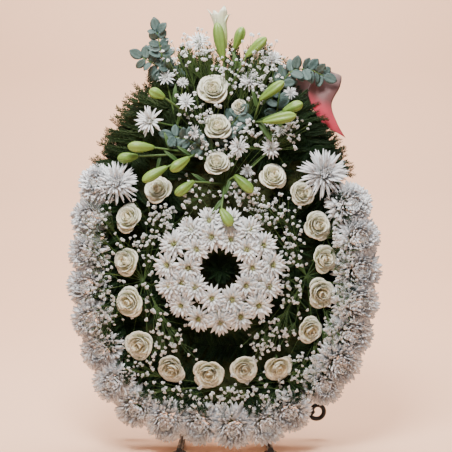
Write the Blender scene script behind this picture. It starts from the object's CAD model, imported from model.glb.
"""Looks of an egg-shaped funeral wreath: fresh white flowers on a bed of conifer, leaning on an iron stand."""

import sys

import logging
import math
import random
from dataclasses import dataclass, field
from enum import Enum
from typing import Callable, Iterable, Sequence

import bmesh
import bpy
import numpy as np
from mathutils import Euler, Matrix, Quaternion, Vector


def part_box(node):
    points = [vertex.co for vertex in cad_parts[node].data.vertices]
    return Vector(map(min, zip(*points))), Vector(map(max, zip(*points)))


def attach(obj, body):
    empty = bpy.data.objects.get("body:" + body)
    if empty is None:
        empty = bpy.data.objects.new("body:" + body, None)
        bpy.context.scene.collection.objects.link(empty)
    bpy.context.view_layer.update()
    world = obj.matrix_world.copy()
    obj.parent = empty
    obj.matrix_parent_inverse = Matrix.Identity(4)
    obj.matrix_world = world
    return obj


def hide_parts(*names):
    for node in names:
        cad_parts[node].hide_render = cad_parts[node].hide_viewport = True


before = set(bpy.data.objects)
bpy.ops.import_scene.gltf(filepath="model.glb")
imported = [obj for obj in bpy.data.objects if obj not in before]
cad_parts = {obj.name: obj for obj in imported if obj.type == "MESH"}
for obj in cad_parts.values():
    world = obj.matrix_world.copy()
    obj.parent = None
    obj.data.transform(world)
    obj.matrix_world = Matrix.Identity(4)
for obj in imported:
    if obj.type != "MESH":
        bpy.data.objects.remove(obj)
log = logging.getLogger("wreath")

Colour = tuple[float, float, float]
Socket = bpy.types.NodeSocket

# Sizes of the wreath that the looks share with the solids, in metres, in its upright place with its front to -Y.
HALF_WIDTH = 0.318
HALF_HEIGHT = 0.425
CENTRE_Z = 0.436
EGG_TAPER = 0.15
EGG_FULLNESS = 0.70
LEAN = math.radians(8)
BASE_SHARE = 0.84
BASE_FRONT = -0.020
BASE_BACK = 0.024
BOARD_THICK = 0.006
BAR_LINE = 0.0502
LEG_LINE = 0.0378
UPPER_BAR_HEIGHT = 0.640
RING_X = -0.011
RING_Z = 0.389
STEM_DEPTH = 0.026
MM = 0.001
FRONT = Vector((0, -1, 0))
GOLDEN_TURN = 2.399963


class Slot(Enum):
    """The record's material slots."""

    IRON = "iron"
    BOARD = "board"
    MOSS = "moss"
    CONIFER = "conifer"
    CHRYSANTHEMUM = "chrysanthemum"
    DAISY = "daisy"
    ROSE = "rose"
    LILY = "lily"
    EUCALYPTUS = "eucalyptus"
    GYPSOPHILA = "gypsophila"
    RIBBON = "ribbon"


def wreath_place() -> Matrix:
    """Finds where the leaning wreath stands, from the middle of the stand's upper bar.

    Returns:
        The move from the upright wreath's frame to the row frame.
    """
    low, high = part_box("stand_upper_bar")
    turn = Matrix.Rotation(-LEAN, 4, "X")
    return Matrix.Translation((low + high) / 2 - turn @ Vector((0, BAR_LINE, UPPER_BAR_HEIGHT))) @ turn


PLACE = wreath_place()
GROUND = PLACE.translation.copy()


def mm(x: float, y: float, z: float) -> Vector:
    """A point given in millimetres."""
    return Vector((x * MM, y * MM, z * MM))


def egg(angle: float, share: float = 1.0, depth: float = 0.0) -> Vector:
    """A point of the wreath's egg-shaped outline.

    Args:
        angle: clockwise from the top, seen from the front.
        share: how far out from the middle, 1 on the outline.
        depth: the point's y.

    Returns:
        The point, in the upright wreath's frame.
    """
    side = math.copysign(abs(math.sin(angle)) ** EGG_FULLNESS, math.sin(angle))
    across = HALF_WIDTH * side * (1 - EGG_TAPER * math.cos(angle))
    return Vector((share * across, depth, CENTRE_Z + share * HALF_HEIGHT * math.cos(angle)))


def look_along(direction: Vector, spin: float = 0.0) -> Quaternion:
    """The turn that points a shape's own +Z along a direction."""
    return Vector(direction).to_track_quat("Z", "Y") @ Quaternion((0, 0, 1), spin)


def grow_along(direction: Vector, upper: Vector) -> Quaternion:
    """The turn that points a shape's own +X along a direction, with its +Z nearest to another one."""
    x = Vector(direction).normalized()
    y = Vector(upper).cross(x).normalized()
    return Matrix((x, y, x.cross(y))).transposed().to_quaternion()


# Node trees


class Tree:
    """A node tree being written, with short calls that add and join its nodes."""

    def __init__(self, group: bpy.types.NodeTree) -> None:
        """Keeps the tree that the nodes go into."""
        self.group = group

    def add(self, kind: str, inputs: dict | None = None, **settings: object) -> bpy.types.Node:
        """Adds a node.

        Args:
            kind: the node's type.
            inputs: values, or other nodes' sockets, by the input's name or number.
            settings: the node's own settings.

        Returns:
            The new node.
        """
        node = self.group.nodes.new(kind)
        for key, value in settings.items():
            setattr(node, key, value)
        for key, value in (inputs or {}).items():
            if isinstance(value, bpy.types.NodeSocket):
                self.group.links.new(value, node.inputs[key])
            else:
                node.inputs[key].default_value = value
        return node

    def math(self, operation: str, *values: float | Socket, clamp: bool = False) -> Socket:
        """A sum of one, two or three values."""
        node = self.add("ShaderNodeMath", dict(enumerate(values)), operation=operation, use_clamp=clamp)
        return node.outputs[0]

    def span(self, value: Socket, low: float, high: float, to_low: float, to_high: float, smooth: bool = False) -> Socket:
        """A value carried over from one range to another and held inside it."""
        inputs = {0: value, 1: low, 2: high, 3: to_low, 4: to_high}
        kind = "SMOOTHSTEP" if smooth else "LINEAR"
        return self.add("ShaderNodeMapRange", inputs, interpolation_type=kind).outputs[0]

    def mix(self, factor: float | Socket, low: object, high: object, blend: str = "MIX") -> Socket:
        """Two colours mixed by a factor."""
        colours = [value if isinstance(value, bpy.types.NodeSocket) else (*value, 1.0) for value in (low, high)]
        inputs = {0: factor, 6: colours[0], 7: colours[1]}
        return self.add("ShaderNodeMix", inputs, data_type="RGBA", blend_type=blend).outputs[2]

    def noise(self, scale: float, detail: float = 3.0, where: Socket | None = None, rough: float = 0.5) -> Socket:
        """A noise value over the object's own coordinates, or over the given ones."""
        where = where or self.add("ShaderNodeTexCoord").outputs["Object"]
        inputs = {"Vector": where, "Scale": scale, "Detail": detail, "Roughness": rough}
        return self.add("ShaderNodeTexNoise", inputs).outputs["Fac"]

    def attribute(self, name: str) -> Socket:
        """A number stored on the mesh."""
        return self.add("ShaderNodeAttribute", attribute_name=name).outputs["Fac"]

    def ramp(self, value: Socket, stops: Sequence[tuple[float, Colour]]) -> Socket:
        """A run of colours.

        Args:
            value: where along the run, from 0 to 1.
            stops: each colour with its place.

        Returns:
            The colour.
        """
        node = self.add("ShaderNodeValToRGB", {0: value})
        while len(node.color_ramp.elements) < len(stops):
            node.color_ramp.elements.new(0.5)
        for element, (place, colour) in zip(node.color_ramp.elements, stops):
            element.position = place
            element.color = (*colour, 1.0)
        return node.outputs[0]


def effect(name: str, outputs: dict[str, str], write: Callable[[Tree, Socket], dict[str, Socket]]) -> bpy.types.NodeTree:
    """A shader effect that several materials use, as a node group.

    Args:
        name: the group's name.
        outputs: the kind of each output socket, by name.
        write: writes the nodes, given the tree and the group's scale input, and gives each output's socket.

    Returns:
        The node group.
    """
    group = bpy.data.node_groups.new(name, "ShaderNodeTree")
    scale = group.interface.new_socket("Scale", in_out="INPUT", socket_type="NodeSocketFloat")
    scale.default_value = 1.0
    for label, kind in outputs.items():
        group.interface.new_socket(label, in_out="OUTPUT", socket_type=kind)
    tree = Tree(group)
    made = write(tree, tree.add("NodeGroupInput").outputs[0])
    tree.add("NodeGroupOutput", made)
    return group


def write_petal_marks(tree: Tree, scale: Socket) -> dict[str, Socket]:
    """Writes the fine veins that run along a petal or leaf, and the soft mottling between them."""
    across = tree.attribute("across")
    along = tree.attribute("along")
    wander = tree.math("MULTIPLY", tree.noise(60.0, 2.0), 1.4)
    fan = tree.math("MULTIPLY", across, tree.math("SUBTRACT", 1.25, tree.math("MULTIPLY", along, 0.45)))
    lines = tree.math("SINE", tree.math("ADD", tree.math("MULTIPLY", fan, tree.math("MULTIPLY", scale, 14.0)), wander))
    veins = tree.span(lines, -1.0, 1.0, 0.0, 1.0, smooth=True)
    mottle = tree.noise(240.0, 4.0)
    height = tree.math("ADD", tree.math("MULTIPLY", veins, 0.6), tree.math("MULTIPLY", mottle, 0.4))
    return {"Veins": veins, "Mottle": mottle, "Height": height}


def write_patches(tree: Tree, scale: Socket) -> dict[str, Socket]:
    """Writes large soft patches and small specks over the object's own coordinates."""
    where = tree.add("ShaderNodeTexCoord").outputs["Object"]
    sized = tree.add("ShaderNodeVectorMath", {0: where, "Scale": scale}, operation="SCALE").outputs[0]
    patches = tree.span(tree.noise(9.0, 4.0, sized), 0.35, 0.65, 0.0, 1.0, smooth=True)
    specks = tree.span(tree.noise(330.0, 3.0, sized), 0.4, 0.7, 0.0, 1.0, smooth=True)
    return {"Patches": patches, "Specks": specks}


NUMBER = "NodeSocketFloat"
PETAL_MARKS = effect("petal_marks", {"Veins": NUMBER, "Mottle": NUMBER, "Height": NUMBER}, write_petal_marks)
PATCHES = effect("patches", {"Patches": NUMBER, "Specks": NUMBER}, write_patches)


class Finish:
    """A material being written: its tree, its shader, and the sockets that set its surface."""

    def __init__(self, name: str, roughness: float = 0.5) -> None:
        """Starts a material of one Principled shader."""
        self.material = bpy.data.materials.new(name)
        self.material.use_nodes = True
        self.tree = Tree(self.material.node_tree)
        self.shader = self.material.node_tree.nodes["Principled BSDF"]
        self.shader.inputs["Roughness"].default_value = roughness

    def use(self, group: bpy.types.NodeTree, scale: float) -> bpy.types.Node:
        """Adds one of the shared effects."""
        return self.tree.add("ShaderNodeGroup", {"Scale": scale}, node_tree=group)

    def put(self, name: str, value: Socket) -> None:
        """Joins a socket to one of the shader's inputs."""
        self.tree.group.links.new(value, self.shader.inputs[name])

    def bump(self, height: Socket, strength: float, distance: float) -> None:
        """Raises the surface by a height."""
        inputs = {"Height": height, "Strength": strength, "Distance": distance}
        self.put("Normal", self.tree.add("ShaderNodeBump", inputs).outputs[0])


@dataclass(frozen=True)
class PetalFinish:
    """Soft petal colour from base to tip, with veins, a heart colour and a rim colour."""

    name: str
    base: Colour
    middle: Colour
    tip: Colour
    heart: Colour
    rim: Colour
    heart_from: float = 0.55
    rim_from: float = 0.93
    veins: float = 1.0
    roughness: float = 0.55
    glow: float = 0.12

    def make(self) -> bpy.types.Material:
        """Writes the material."""
        finish = Finish(self.name, self.roughness)
        tree = finish.tree
        marks = finish.use(PETAL_MARKS, self.veins)
        along, ring = tree.attribute("along"), tree.attribute("ring")
        body = tree.ramp(along, ((0.0, self.base), (0.42, self.middle), (1.0, self.tip)))
        inner = tree.span(ring, self.heart_from, 1.0, 0.0, 1.0, smooth=True)
        body = tree.mix(tree.math("MULTIPLY", inner, 0.85), body, self.heart)
        edge = tree.span(along, self.rim_from, 1.0, 0.0, 1.0, smooth=True)
        patchy = tree.math("MULTIPLY", edge, tree.span(marks.outputs["Mottle"], 0.3, 0.7, 0.3, 1.0))
        body = tree.mix(patchy, body, self.rim)
        shade = tree.math("SUBTRACT", 1.0, tree.math("MULTIPLY", marks.outputs["Veins"], 0.10))
        tone = tree.span(tree.attribute("tone"), 0.0, 1.0, 0.90, 1.06)
        light = tree.math("MULTIPLY", shade, tone)
        body = tree.mix(1.0, body, tree.add("ShaderNodeCombineColor", {0: light, 1: light, 2: light}).outputs[0], "MULTIPLY")
        finish.put("Base Color", body)
        finish.put("Roughness", tree.span(marks.outputs["Mottle"], 0.3, 0.7, self.roughness - 0.1, self.roughness + 0.12))
        finish.bump(marks.outputs["Height"], 0.45, 0.0004)
        finish.shader.inputs["Subsurface Weight"].default_value = self.glow
        finish.shader.inputs["Subsurface Scale"].default_value = 0.002
        finish.shader.inputs["Subsurface Radius"].default_value = (1.0, 0.95, 0.9)
        finish.shader.inputs["Sheen Weight"].default_value = 0.08
        return finish.material


@dataclass(frozen=True)
class LeafFinish:
    """Green of a leaf, needle, bud or stem, which varies from copy to copy and along its length."""

    name: str
    dark: Colour
    light: Colour
    tip: Colour
    bloom: Colour
    bloom_share: float = 0.0
    groove: float = 0.0
    veins: float = 0.8
    roughness: float = 0.5
    relief: float = 0.4
    grooves: float = 1.0

    def make(self) -> bpy.types.Material:
        """Writes the material."""
        finish = Finish(self.name, self.roughness)
        tree = finish.tree
        marks = finish.use(PETAL_MARKS, self.veins)
        patches = finish.use(PATCHES, 1.0)
        along = tree.attribute("along")
        blend = tree.math("ADD", tree.math("MULTIPLY", tree.attribute("tone"), 0.6),
                          tree.math("MULTIPLY", patches.outputs["Patches"], 0.4))
        body = tree.mix(blend, self.dark, self.light)
        body = tree.mix(tree.span(along, 0.35, 1.0, 0.0, 0.8, smooth=True), body, self.tip)
        turns = tree.math("SINE", tree.math("MULTIPLY", tree.attribute("across"), math.pi / 2 * self.grooves))
        ridge = tree.span(tree.math("ABSOLUTE", turns), 0.0, 0.12 + 0.08 * self.grooves, 1.0, 0.0, smooth=True)
        body = tree.mix(tree.math("MULTIPLY", ridge, self.groove), body, self.dark)
        waxy = tree.math("MULTIPLY", tree.span(marks.outputs["Mottle"], 0.35, 0.65, 0.3, 1.0), self.bloom_share)
        body = tree.mix(waxy, body, self.bloom)
        body = tree.mix(tree.math("MULTIPLY", marks.outputs["Veins"], 0.22), body, self.dark)
        finish.put("Base Color", body)
        finish.put("Roughness", tree.span(marks.outputs["Mottle"], 0.3, 0.7, self.roughness - 0.1, self.roughness + 0.15))
        finish.bump(marks.outputs["Height"], self.relief, 0.0005)
        finish.shader.inputs["Specular IOR Level"].default_value = 0.30
        return finish.material


@dataclass(frozen=True)
class FoliageFinish:
    """Dark conifer green, olive to brown towards the wreath's upper left rim."""

    name: str
    dark: Colour = (0.003, 0.011, 0.004)
    light: Colour = (0.016, 0.042, 0.012)
    olive: Colour = (0.036, 0.048, 0.013)

    def make(self) -> bpy.types.Material:
        """Writes the material."""
        finish = Finish(self.name, 0.55)
        tree = finish.tree
        patches = finish.use(PATCHES, 1.3)
        place = tree.add("ShaderNodeSeparateXYZ", {0: tree.add("ShaderNodeTexCoord").outputs["Object"]})
        body = tree.mix(tree.math("MULTIPLY", tree.attribute("tone"), 0.8), self.dark, self.light)
        body = tree.mix(tree.math("MULTIPLY", patches.outputs["Specks"], 0.25), body, self.light)
        left = tree.span(place.outputs[0], 0.02, -0.20, 0.0, 1.0, smooth=True)
        high = tree.span(place.outputs[2], 0.50, 0.72, 0.0, 1.0, smooth=True)
        rim = tree.math("ADD", tree.math("MULTIPLY", tree.math("MULTIPLY", left, high), 0.75),
                        tree.math("MULTIPLY", tree.math("MULTIPLY", patches.outputs["Patches"], high), 0.25))
        far = tree.span(tree.attribute("along"), 0.2, 1.0, 0.25, 1.0)
        body = tree.mix(tree.math("MULTIPLY", rim, far), body, self.olive)
        finish.put("Base Color", body)
        finish.put("Roughness", tree.span(patches.outputs["Specks"], 0.0, 1.0, 0.45, 0.7))
        finish.bump(patches.outputs["Specks"], 0.3, 0.0003)
        finish.shader.inputs["Specular IOR Level"].default_value = 0.15
        return finish.material


@dataclass(frozen=True)
class IronFinish:
    """Dark painted wrought iron, lightly hammered, with rubbed spots and a little rust."""

    name: str = "wrought_iron"

    def make(self) -> bpy.types.Material:
        """Writes the material."""
        finish = Finish(self.name, 0.5)
        tree = finish.tree
        patches = finish.use(PATCHES, 6.0)
        where = tree.add("ShaderNodeTexCoord").outputs["Object"]
        dents = tree.add("ShaderNodeTexVoronoi", {"Vector": where, "Scale": 150.0}, feature="SMOOTH_F1").outputs["Distance"]
        paint = tree.mix(patches.outputs["Patches"], (0.010, 0.010, 0.011), (0.030, 0.029, 0.028))
        rubbed = tree.math("MULTIPLY", patches.outputs["Specks"], tree.span(dents, 0.0, 0.35, 1.0, 0.0))
        paint = tree.mix(tree.math("MULTIPLY", rubbed, 0.5), paint, (0.085, 0.050, 0.030))
        finish.put("Base Color", paint)
        finish.put("Metallic", tree.span(rubbed, 0.0, 1.0, 0.55, 0.25))
        finish.put("Roughness", tree.span(patches.outputs["Patches"], 0.0, 1.0, 0.38, 0.62))
        finish.bump(dents, 0.35, 0.0006)
        return finish.material


@dataclass(frozen=True)
class WoodFinish:
    """Plain brown board with long grain."""

    name: str = "brown_board"

    def make(self) -> bpy.types.Material:
        """Writes the material."""
        finish = Finish(self.name, 0.7)
        tree = finish.tree
        where = tree.add("ShaderNodeTexCoord").outputs["Object"]
        long = tree.add("ShaderNodeMapping", {"Vector": where, "Scale": (9.0, 9.0, 0.7)}).outputs[0]
        bent = tree.add("ShaderNodeTexWave", {"Vector": long, "Scale": 1.1, "Distortion": 16.0, "Detail": 4.0}, bands_direction="X")
        fine = tree.noise(40.0, 5.0, long)
        grain = tree.math("ADD", tree.math("MULTIPLY", bent.outputs["Fac"], 0.4), tree.math("MULTIPLY", fine, 0.6))
        body = tree.ramp(grain, ((0.1, (0.055, 0.031, 0.016)), (0.5, (0.125, 0.078, 0.043)), (0.9, (0.200, 0.135, 0.080))))
        finish.put("Base Color", body)
        finish.put("Roughness", tree.span(grain, 0.0, 1.0, 0.60, 0.85))
        finish.bump(grain, 0.25, 0.0004)
        return finish.material


@dataclass(frozen=True)
class MossFinish:
    """Dark damp moss over straw."""

    name: str = "moss"

    def make(self) -> bpy.types.Material:
        """Writes the material."""
        finish = Finish(self.name, 0.9)
        tree = finish.tree
        patches = finish.use(PATCHES, 3.0)
        clumps = tree.noise(55.0, 6.0, rough=0.65)
        body = tree.ramp(clumps, ((0.25, (0.006, 0.010, 0.004)), (0.55, (0.026, 0.040, 0.012)), (0.8, (0.075, 0.085, 0.030))))
        body = tree.mix(tree.math("MULTIPLY", patches.outputs["Specks"], 0.3), body, (0.120, 0.095, 0.040))
        finish.put("Base Color", body)
        finish.put("Roughness", tree.span(clumps, 0.2, 0.8, 0.80, 1.0))
        finish.bump(clumps, 0.9, 0.004)
        finish.shader.inputs["Specular IOR Level"].default_value = 0.15
        return finish.material


@dataclass(frozen=True)
class RibbonFinish:
    """Dull satin ribbon, mauve-brown where it loops and rose-red at its tail."""

    name: str = "mourning_satin"

    def make(self) -> bpy.types.Material:
        """Writes the material."""
        finish = Finish(self.name, 0.42)
        tree = finish.tree
        along, across = tree.attribute("along"), tree.attribute("across")
        weave = tree.math("MULTIPLY", tree.math("SINE", tree.math("MULTIPLY", across, 260.0)),
                          tree.math("SINE", tree.math("MULTIPLY", along, 1900.0)))
        patches = finish.use(PATCHES, 4.0)
        body = tree.ramp(along, ((0.50, (0.085, 0.040, 0.036)), (0.70, (0.130, 0.045, 0.045)), (0.80, (0.500, 0.038, 0.072))))
        body = tree.mix(tree.math("MULTIPLY", patches.outputs["Patches"], 0.25), body, (0.120, 0.045, 0.045))
        body = tree.mix(tree.span(tree.math("ABSOLUTE", across), 0.90, 0.94, 0.0, 0.5), body, (0.080, 0.020, 0.025))
        finish.put("Base Color", body)
        finish.put("Roughness", tree.span(weave, -1.0, 1.0, 0.50, 0.68))
        finish.bump(weave, 0.15, 0.0002)
        finish.shader.inputs["Sheen Weight"].default_value = 0.15
        return finish.material


# Shapes


def skin(name: str, grid: np.ndarray, thick: float, closed_round: bool = False) -> bpy.types.Object:
    """A thin closed shape, such as a petal, whose two sides meet in a sharp rim.

    Args:
        name: the object's name.
        grid: rows of points from base to tip, each row from one side to the other.
        thick: its thickness away from the rim.
        closed_round: whether each row closes on itself, as round a bud.

    Returns:
        An object that isn't in the scene yet, with numbers for along and across stored on it.
    """
    rows, columns = grid.shape[:2]
    shape = bmesh.new()
    along = shape.verts.layers.float.new("along")
    across = shape.verts.layers.float.new("across")

    def vert(i: int, j: int, place: np.ndarray) -> bmesh.types.BMVert:
        """A point of the skin, with its place along and across."""
        made = shape.verts.new(place)
        made[along] = i / (rows - 1)
        made[across] = 2 * j / (columns - 1) - 1
        return made

    if closed_round:
        layer = [[vert(i, j, grid[i, j]) for j in range(columns)] for i in range(rows)]
        for i in range(rows - 1):
            for j in range(columns):
                k = (j + 1) % columns
                shape.faces.new((layer[i][j], layer[i][k], layer[i + 1][k], layer[i + 1][j]))
    else:
        down = np.gradient(grid, axis=0)
        over = np.gradient(grid, axis=1)
        normal = np.cross(down, over)
        normal /= np.maximum(np.linalg.norm(normal, axis=2, keepdims=True), 1e-12)
        upper, lower = [], []
        for i in range(rows):
            upper.append([])
            lower.append([])
            for j in range(columns):
                rim = i in (0, rows - 1) or j in (0, columns - 1)
                offset = normal[i, j] * (0.0 if rim else thick / 2)
                top = vert(i, j, grid[i, j] + offset)
                upper[-1].append(top)
                lower[-1].append(top if rim else vert(i, j, grid[i, j] - offset))
        for i in range(rows - 1):
            for j in range(columns - 1):
                for layer, flip in ((upper, False), (lower, True)):
                    face = [layer[i][j], layer[i + 1][j], layer[i + 1][j + 1], layer[i][j + 1]]
                    shape.faces.new(reversed(face) if flip else face)
    bmesh.ops.remove_doubles(shape, verts=shape.verts, dist=1e-7)
    bmesh.ops.dissolve_degenerate(shape, edges=shape.edges, dist=1e-8)
    bmesh.ops.holes_fill(shape, edges=shape.edges, sides=0)
    bmesh.ops.recalc_face_normals(shape, faces=shape.faces)
    mesh = bpy.data.meshes.new(name)
    shape.to_mesh(mesh)
    shape.free()
    mesh.shade_smooth()
    return bpy.data.objects.new(name, mesh)


@dataclass(frozen=True)
class Blade:
    """A petal, leaf or needle that grows along +X, its upper side to +Z."""

    length: float
    width: float
    thick: float
    outline: tuple[float, ...]
    curl: float = 0.0
    cup: float = 0.0
    columns: int = 3
    wave: float = 0.0

    def grid(self) -> np.ndarray:
        """The rows of points of its middle surface."""
        rows = len(self.outline)
        grid = np.zeros((rows, self.columns, 3))
        place = np.zeros(3)
        step = self.length / (rows - 1)
        for i, share in enumerate(self.outline):
            angle = self.curl * (i / (rows - 1)) ** 1.3
            lift = np.array((-math.sin(angle), 0.0, math.cos(angle)))
            half = share * self.width / 2
            for j, u in enumerate(np.linspace(-1, 1, self.columns)):
                ripple = self.wave * half * math.sin(i * 1.9 + j * 2.3) * abs(u)
                grid[i, j] = place + np.array((0.0, u * half, 0.0)) + lift * (self.cup * half * u * u + ripple)
            place = place + step * np.array((math.cos(angle), 0.0, math.sin(angle)))
        return grid

    def make(self, name: str) -> bpy.types.Object:
        """Makes the blade as a closed shape."""
        return skin(name, self.grid(), self.thick)


@dataclass(frozen=True)
class RosePetal:
    """A rose petal that stands round the flower's own +Z, as shares of the flower's radius."""

    low: float
    belly: float
    rim: float
    height: float
    half_span: float
    roll: float
    drop: float = 0.0
    lean: float = 0.0
    rows: int = 8
    columns: int = 9

    def make(self, name: str) -> bpy.types.Object:
        """Makes the petal as a closed shape."""
        grid = np.zeros((self.rows, self.columns, 3))
        for i in range(self.rows):
            t = i / (self.rows - 1)
            for j in range(self.columns):
                u = 2 * j / (self.columns - 1) - 1
                # The rim dips to both sides, so that the petal's upper edge is round.
                reach = t * (1 - 0.30 * abs(u) ** 2.4)
                swell = math.sin(min(reach, 0.62) / 0.62 * math.pi / 2)
                radius = self.low + (self.belly - self.low) * swell
                height = self.height * reach
                if reach > 0.62:
                    over = (reach - 0.62) / 0.38
                    radius += (self.rim - self.belly) * over + self.roll * over ** 2
                    height -= self.drop * over ** 2.2
                radius += 0.035 * u * self.lean
                angle = u * self.half_span * (0.45 + 0.55 * math.sin(min(1.0, 0.25 + t) * math.pi / 2))
                ripple = 0.012 * math.sin(3.1 * u + 5 * self.belly) * t
                grid[i, j] = (radius * math.cos(angle), radius * math.sin(angle), height + ripple)
        return skin(name, grid, 0.022)


def bud_skin(name: str, profile: Sequence[tuple[float, float]], lobes: float, sides: int = 18, bend: float = 0.05) -> bpy.types.Object:
    """A closed bud along +X, one unit long and of one unit's radius.

    Args:
        name: the object's name.
        profile: pairs of place along and radius, both as shares.
        lobes: how deep the three grooves between its petals are.
        sides: points round it.
        bend: how far its middle bows out.

    Returns:
        The bud.
    """
    grid = np.zeros((len(profile), sides, 3))
    for i, (along, radius) in enumerate(profile):
        for j in range(sides):
            angle = math.tau * j / sides
            wide = radius * (1 - lobes * abs(math.cos(1.5 * angle)) ** 10 - 0.25 * lobes * abs(math.sin(1.5 * angle)) ** 14)
            grid[i, j] = (along, wide * math.cos(angle), wide * math.sin(angle) + bend * math.sin(math.pi * along))
    return skin(name, grid, 0.0, closed_round=True)


# Growing by Geometry Nodes


class Grower:
    """A Geometry Nodes tree with named inputs, run on one guide at a time."""

    def __init__(self, name: str, inputs: dict[str, str]) -> None:
        """Starts the tree.

        Args:
            name: the tree's name.
            inputs: each input socket's kind, by name.
        """
        self.group = bpy.data.node_groups.new(name, "GeometryNodeTree")
        self.group.interface.new_socket("Geometry", in_out="INPUT", socket_type="NodeSocketGeometry")
        self.group.interface.new_socket("Geometry", in_out="OUTPUT", socket_type="NodeSocketGeometry")
        for label, kind in inputs.items():
            self.group.interface.new_socket(label, in_out="INPUT", socket_type=kind)
        self.tree = Tree(self.group)
        self.source = self.tree.add("NodeGroupInput").outputs

    def between(self, low: object, high: object, seed: int) -> Socket:
        """A random number for each point, fixed by the tree's seed input and the use's own one."""
        own = self.tree.math("ADD", self.source["Seed"], seed)
        return self.tree.add("FunctionNodeRandomValue", {2: low, 3: high, 8: own}, data_type="FLOAT").outputs[1]

    def end(self, geometry: Socket) -> None:
        """Closes the tree: copies made real, smooth, and in their material."""
        real = self.tree.add("GeometryNodeRealizeInstances", {0: geometry}).outputs[0]
        smooth = self.tree.add("GeometryNodeSetShadeSmooth", {0: real}).outputs[0]
        dressed = self.tree.add("GeometryNodeSetMaterial", {0: smooth, 2: self.source["Material"]}).outputs[0]
        self.tree.add("NodeGroupOutput", {0: dressed})

    def run(self, name: str, guide: bpy.types.Object, values: dict[str, object]) -> bpy.types.Object:
        """Runs the tree on a guide and keeps what it grows as a plain mesh.

        Args:
            name: the new object's name.
            guide: the object that carries the modifier; it is used up.
            values: the tree's inputs, by name.

        Returns:
            The new object, which isn't in the scene yet.
        """
        modifier = guide.modifiers.new("grow", "NODES")
        modifier.node_group = self.group
        for item in self.group.interface.items_tree:
            if item.item_type == "SOCKET" and item.in_out == "INPUT" and item.name in values:
                modifier[item.identifier] = values[item.name]
        bpy.context.scene.collection.objects.link(guide)
        graph = bpy.context.evaluated_depsgraph_get()
        mesh = bpy.data.meshes.new_from_object(guide.evaluated_get(graph), preserve_all_data_layers=True, depsgraph=graph)
        data = guide.data
        guide.modifiers.clear()
        bpy.data.objects.remove(guide, do_unlink=True)
        (bpy.data.curves if isinstance(data, bpy.types.Curve) else bpy.data.meshes).remove(data)
        for extra in ("turn", "size", "pick"):
            if extra in mesh.attributes:
                mesh.attributes.remove(mesh.attributes[extra])
        mesh.name = name
        return bpy.data.objects.new(name, mesh)


def write_bloom_tree() -> Grower:
    """The tree that sets petals in a spiral round a heart, as a daisy family flower grows them.

    Returns:
        The tree, whose guide's own shape isn't used.
    """
    value, whole = "NodeSocketFloat", "NodeSocketInt"
    grower = Grower("bloom", {
        "Petals": whole, "Kinds": whole, "Shapes": "NodeSocketCollection", "Core": value, "Core Flat": value,
        "Outer Angle": value, "Inner Angle": value, "Outer Size": value, "Inner Size": value, "Bias": value,
        "Jitter": value, "Seed": whole, "Material": "NodeSocketMaterial",
    })
    tree, source = grower.tree, grower.source
    line = tree.add("GeometryNodeMeshLine", {"Count": source["Petals"], "Offset": (0.0, 0.0, 0.0)}).outputs[0]
    index = tree.add("GeometryNodeInputIndex").outputs[0]
    ring = tree.math("DIVIDE", index, tree.math("MAXIMUM", tree.math("SUBTRACT", source["Petals"], 1.0), 1.0))
    share = tree.math("POWER", ring, source["Bias"])

    def run_over(low: Socket, high: Socket) -> Socket:
        """A value that goes from the outermost petal's to the innermost one's."""
        return tree.add("ShaderNodeMapRange", {0: share, 1: 0.0, 2: 1.0, 3: low, 4: high}).outputs[0]

    loose = tree.math("MULTIPLY", grower.between(-1.0, 1.0, 1), source["Jitter"])
    angle = tree.math("ADD", run_over(source["Outer Angle"], source["Inner Angle"]), loose)
    rise = tree.math("SUBTRACT", angle, math.pi / 2)
    about = tree.math("ADD", tree.math("MULTIPLY", index, GOLDEN_TURN),
                      tree.math("MULTIPLY", grower.between(-1.0, 1.0, 2), source["Jitter"]))
    roll = tree.math("MULTIPLY", grower.between(-1.2, 1.2, 3), source["Jitter"])
    turn = tree.add("ShaderNodeCombineXYZ", {0: roll, 1: rise, 2: about}).outputs[0]
    reach = tree.add("ShaderNodeCombineXYZ", {0: source["Core"]}).outputs[0]
    out = tree.add("ShaderNodeVectorRotate", {"Vector": reach, "Rotation": turn}, rotation_type="EULER_XYZ").outputs[0]
    flat = tree.add("ShaderNodeCombineXYZ", {0: 1.0, 1: 1.0, 2: source["Core Flat"]}).outputs[0]
    place = tree.add("ShaderNodeVectorMath", {0: out, 1: flat}, operation="MULTIPLY").outputs[0]
    set_out = tree.add("GeometryNodeSetPosition", {0: line, "Position": place}).outputs[0]
    stored = tree.add("GeometryNodeStoreNamedAttribute", {"Geometry": set_out, "Name": "ring", "Value": ring},
                      data_type="FLOAT", domain="POINT").outputs[0]
    size = tree.math("MULTIPLY", run_over(source["Outer Size"], source["Inner Size"]), grower.between(0.92, 1.07, 4))
    kind = tree.math("ADD", tree.math("MULTIPLY", share, tree.math("SUBTRACT", source["Kinds"], 0.01)),
                     grower.between(-0.3, 0.3, 5))
    picked = tree.math("FLOOR", tree.math("MINIMUM", tree.math("MAXIMUM", kind, 0.0),
                                          tree.math("SUBTRACT", source["Kinds"], 0.01)))
    shapes = tree.add("GeometryNodeCollectionInfo", {"Collection": source["Shapes"], "Separate Children": True,
                                                      "Reset Children": True}).outputs[0]
    facing = tree.add("FunctionNodeEulerToRotation", {0: turn}).outputs[0]
    copies = tree.add("GeometryNodeInstanceOnPoints", {
        "Points": stored, "Instance": shapes, "Pick Instance": True, "Instance Index": picked,
        "Rotation": facing, "Scale": size,
    }).outputs[0]
    grower.end(copies)
    return grower


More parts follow.
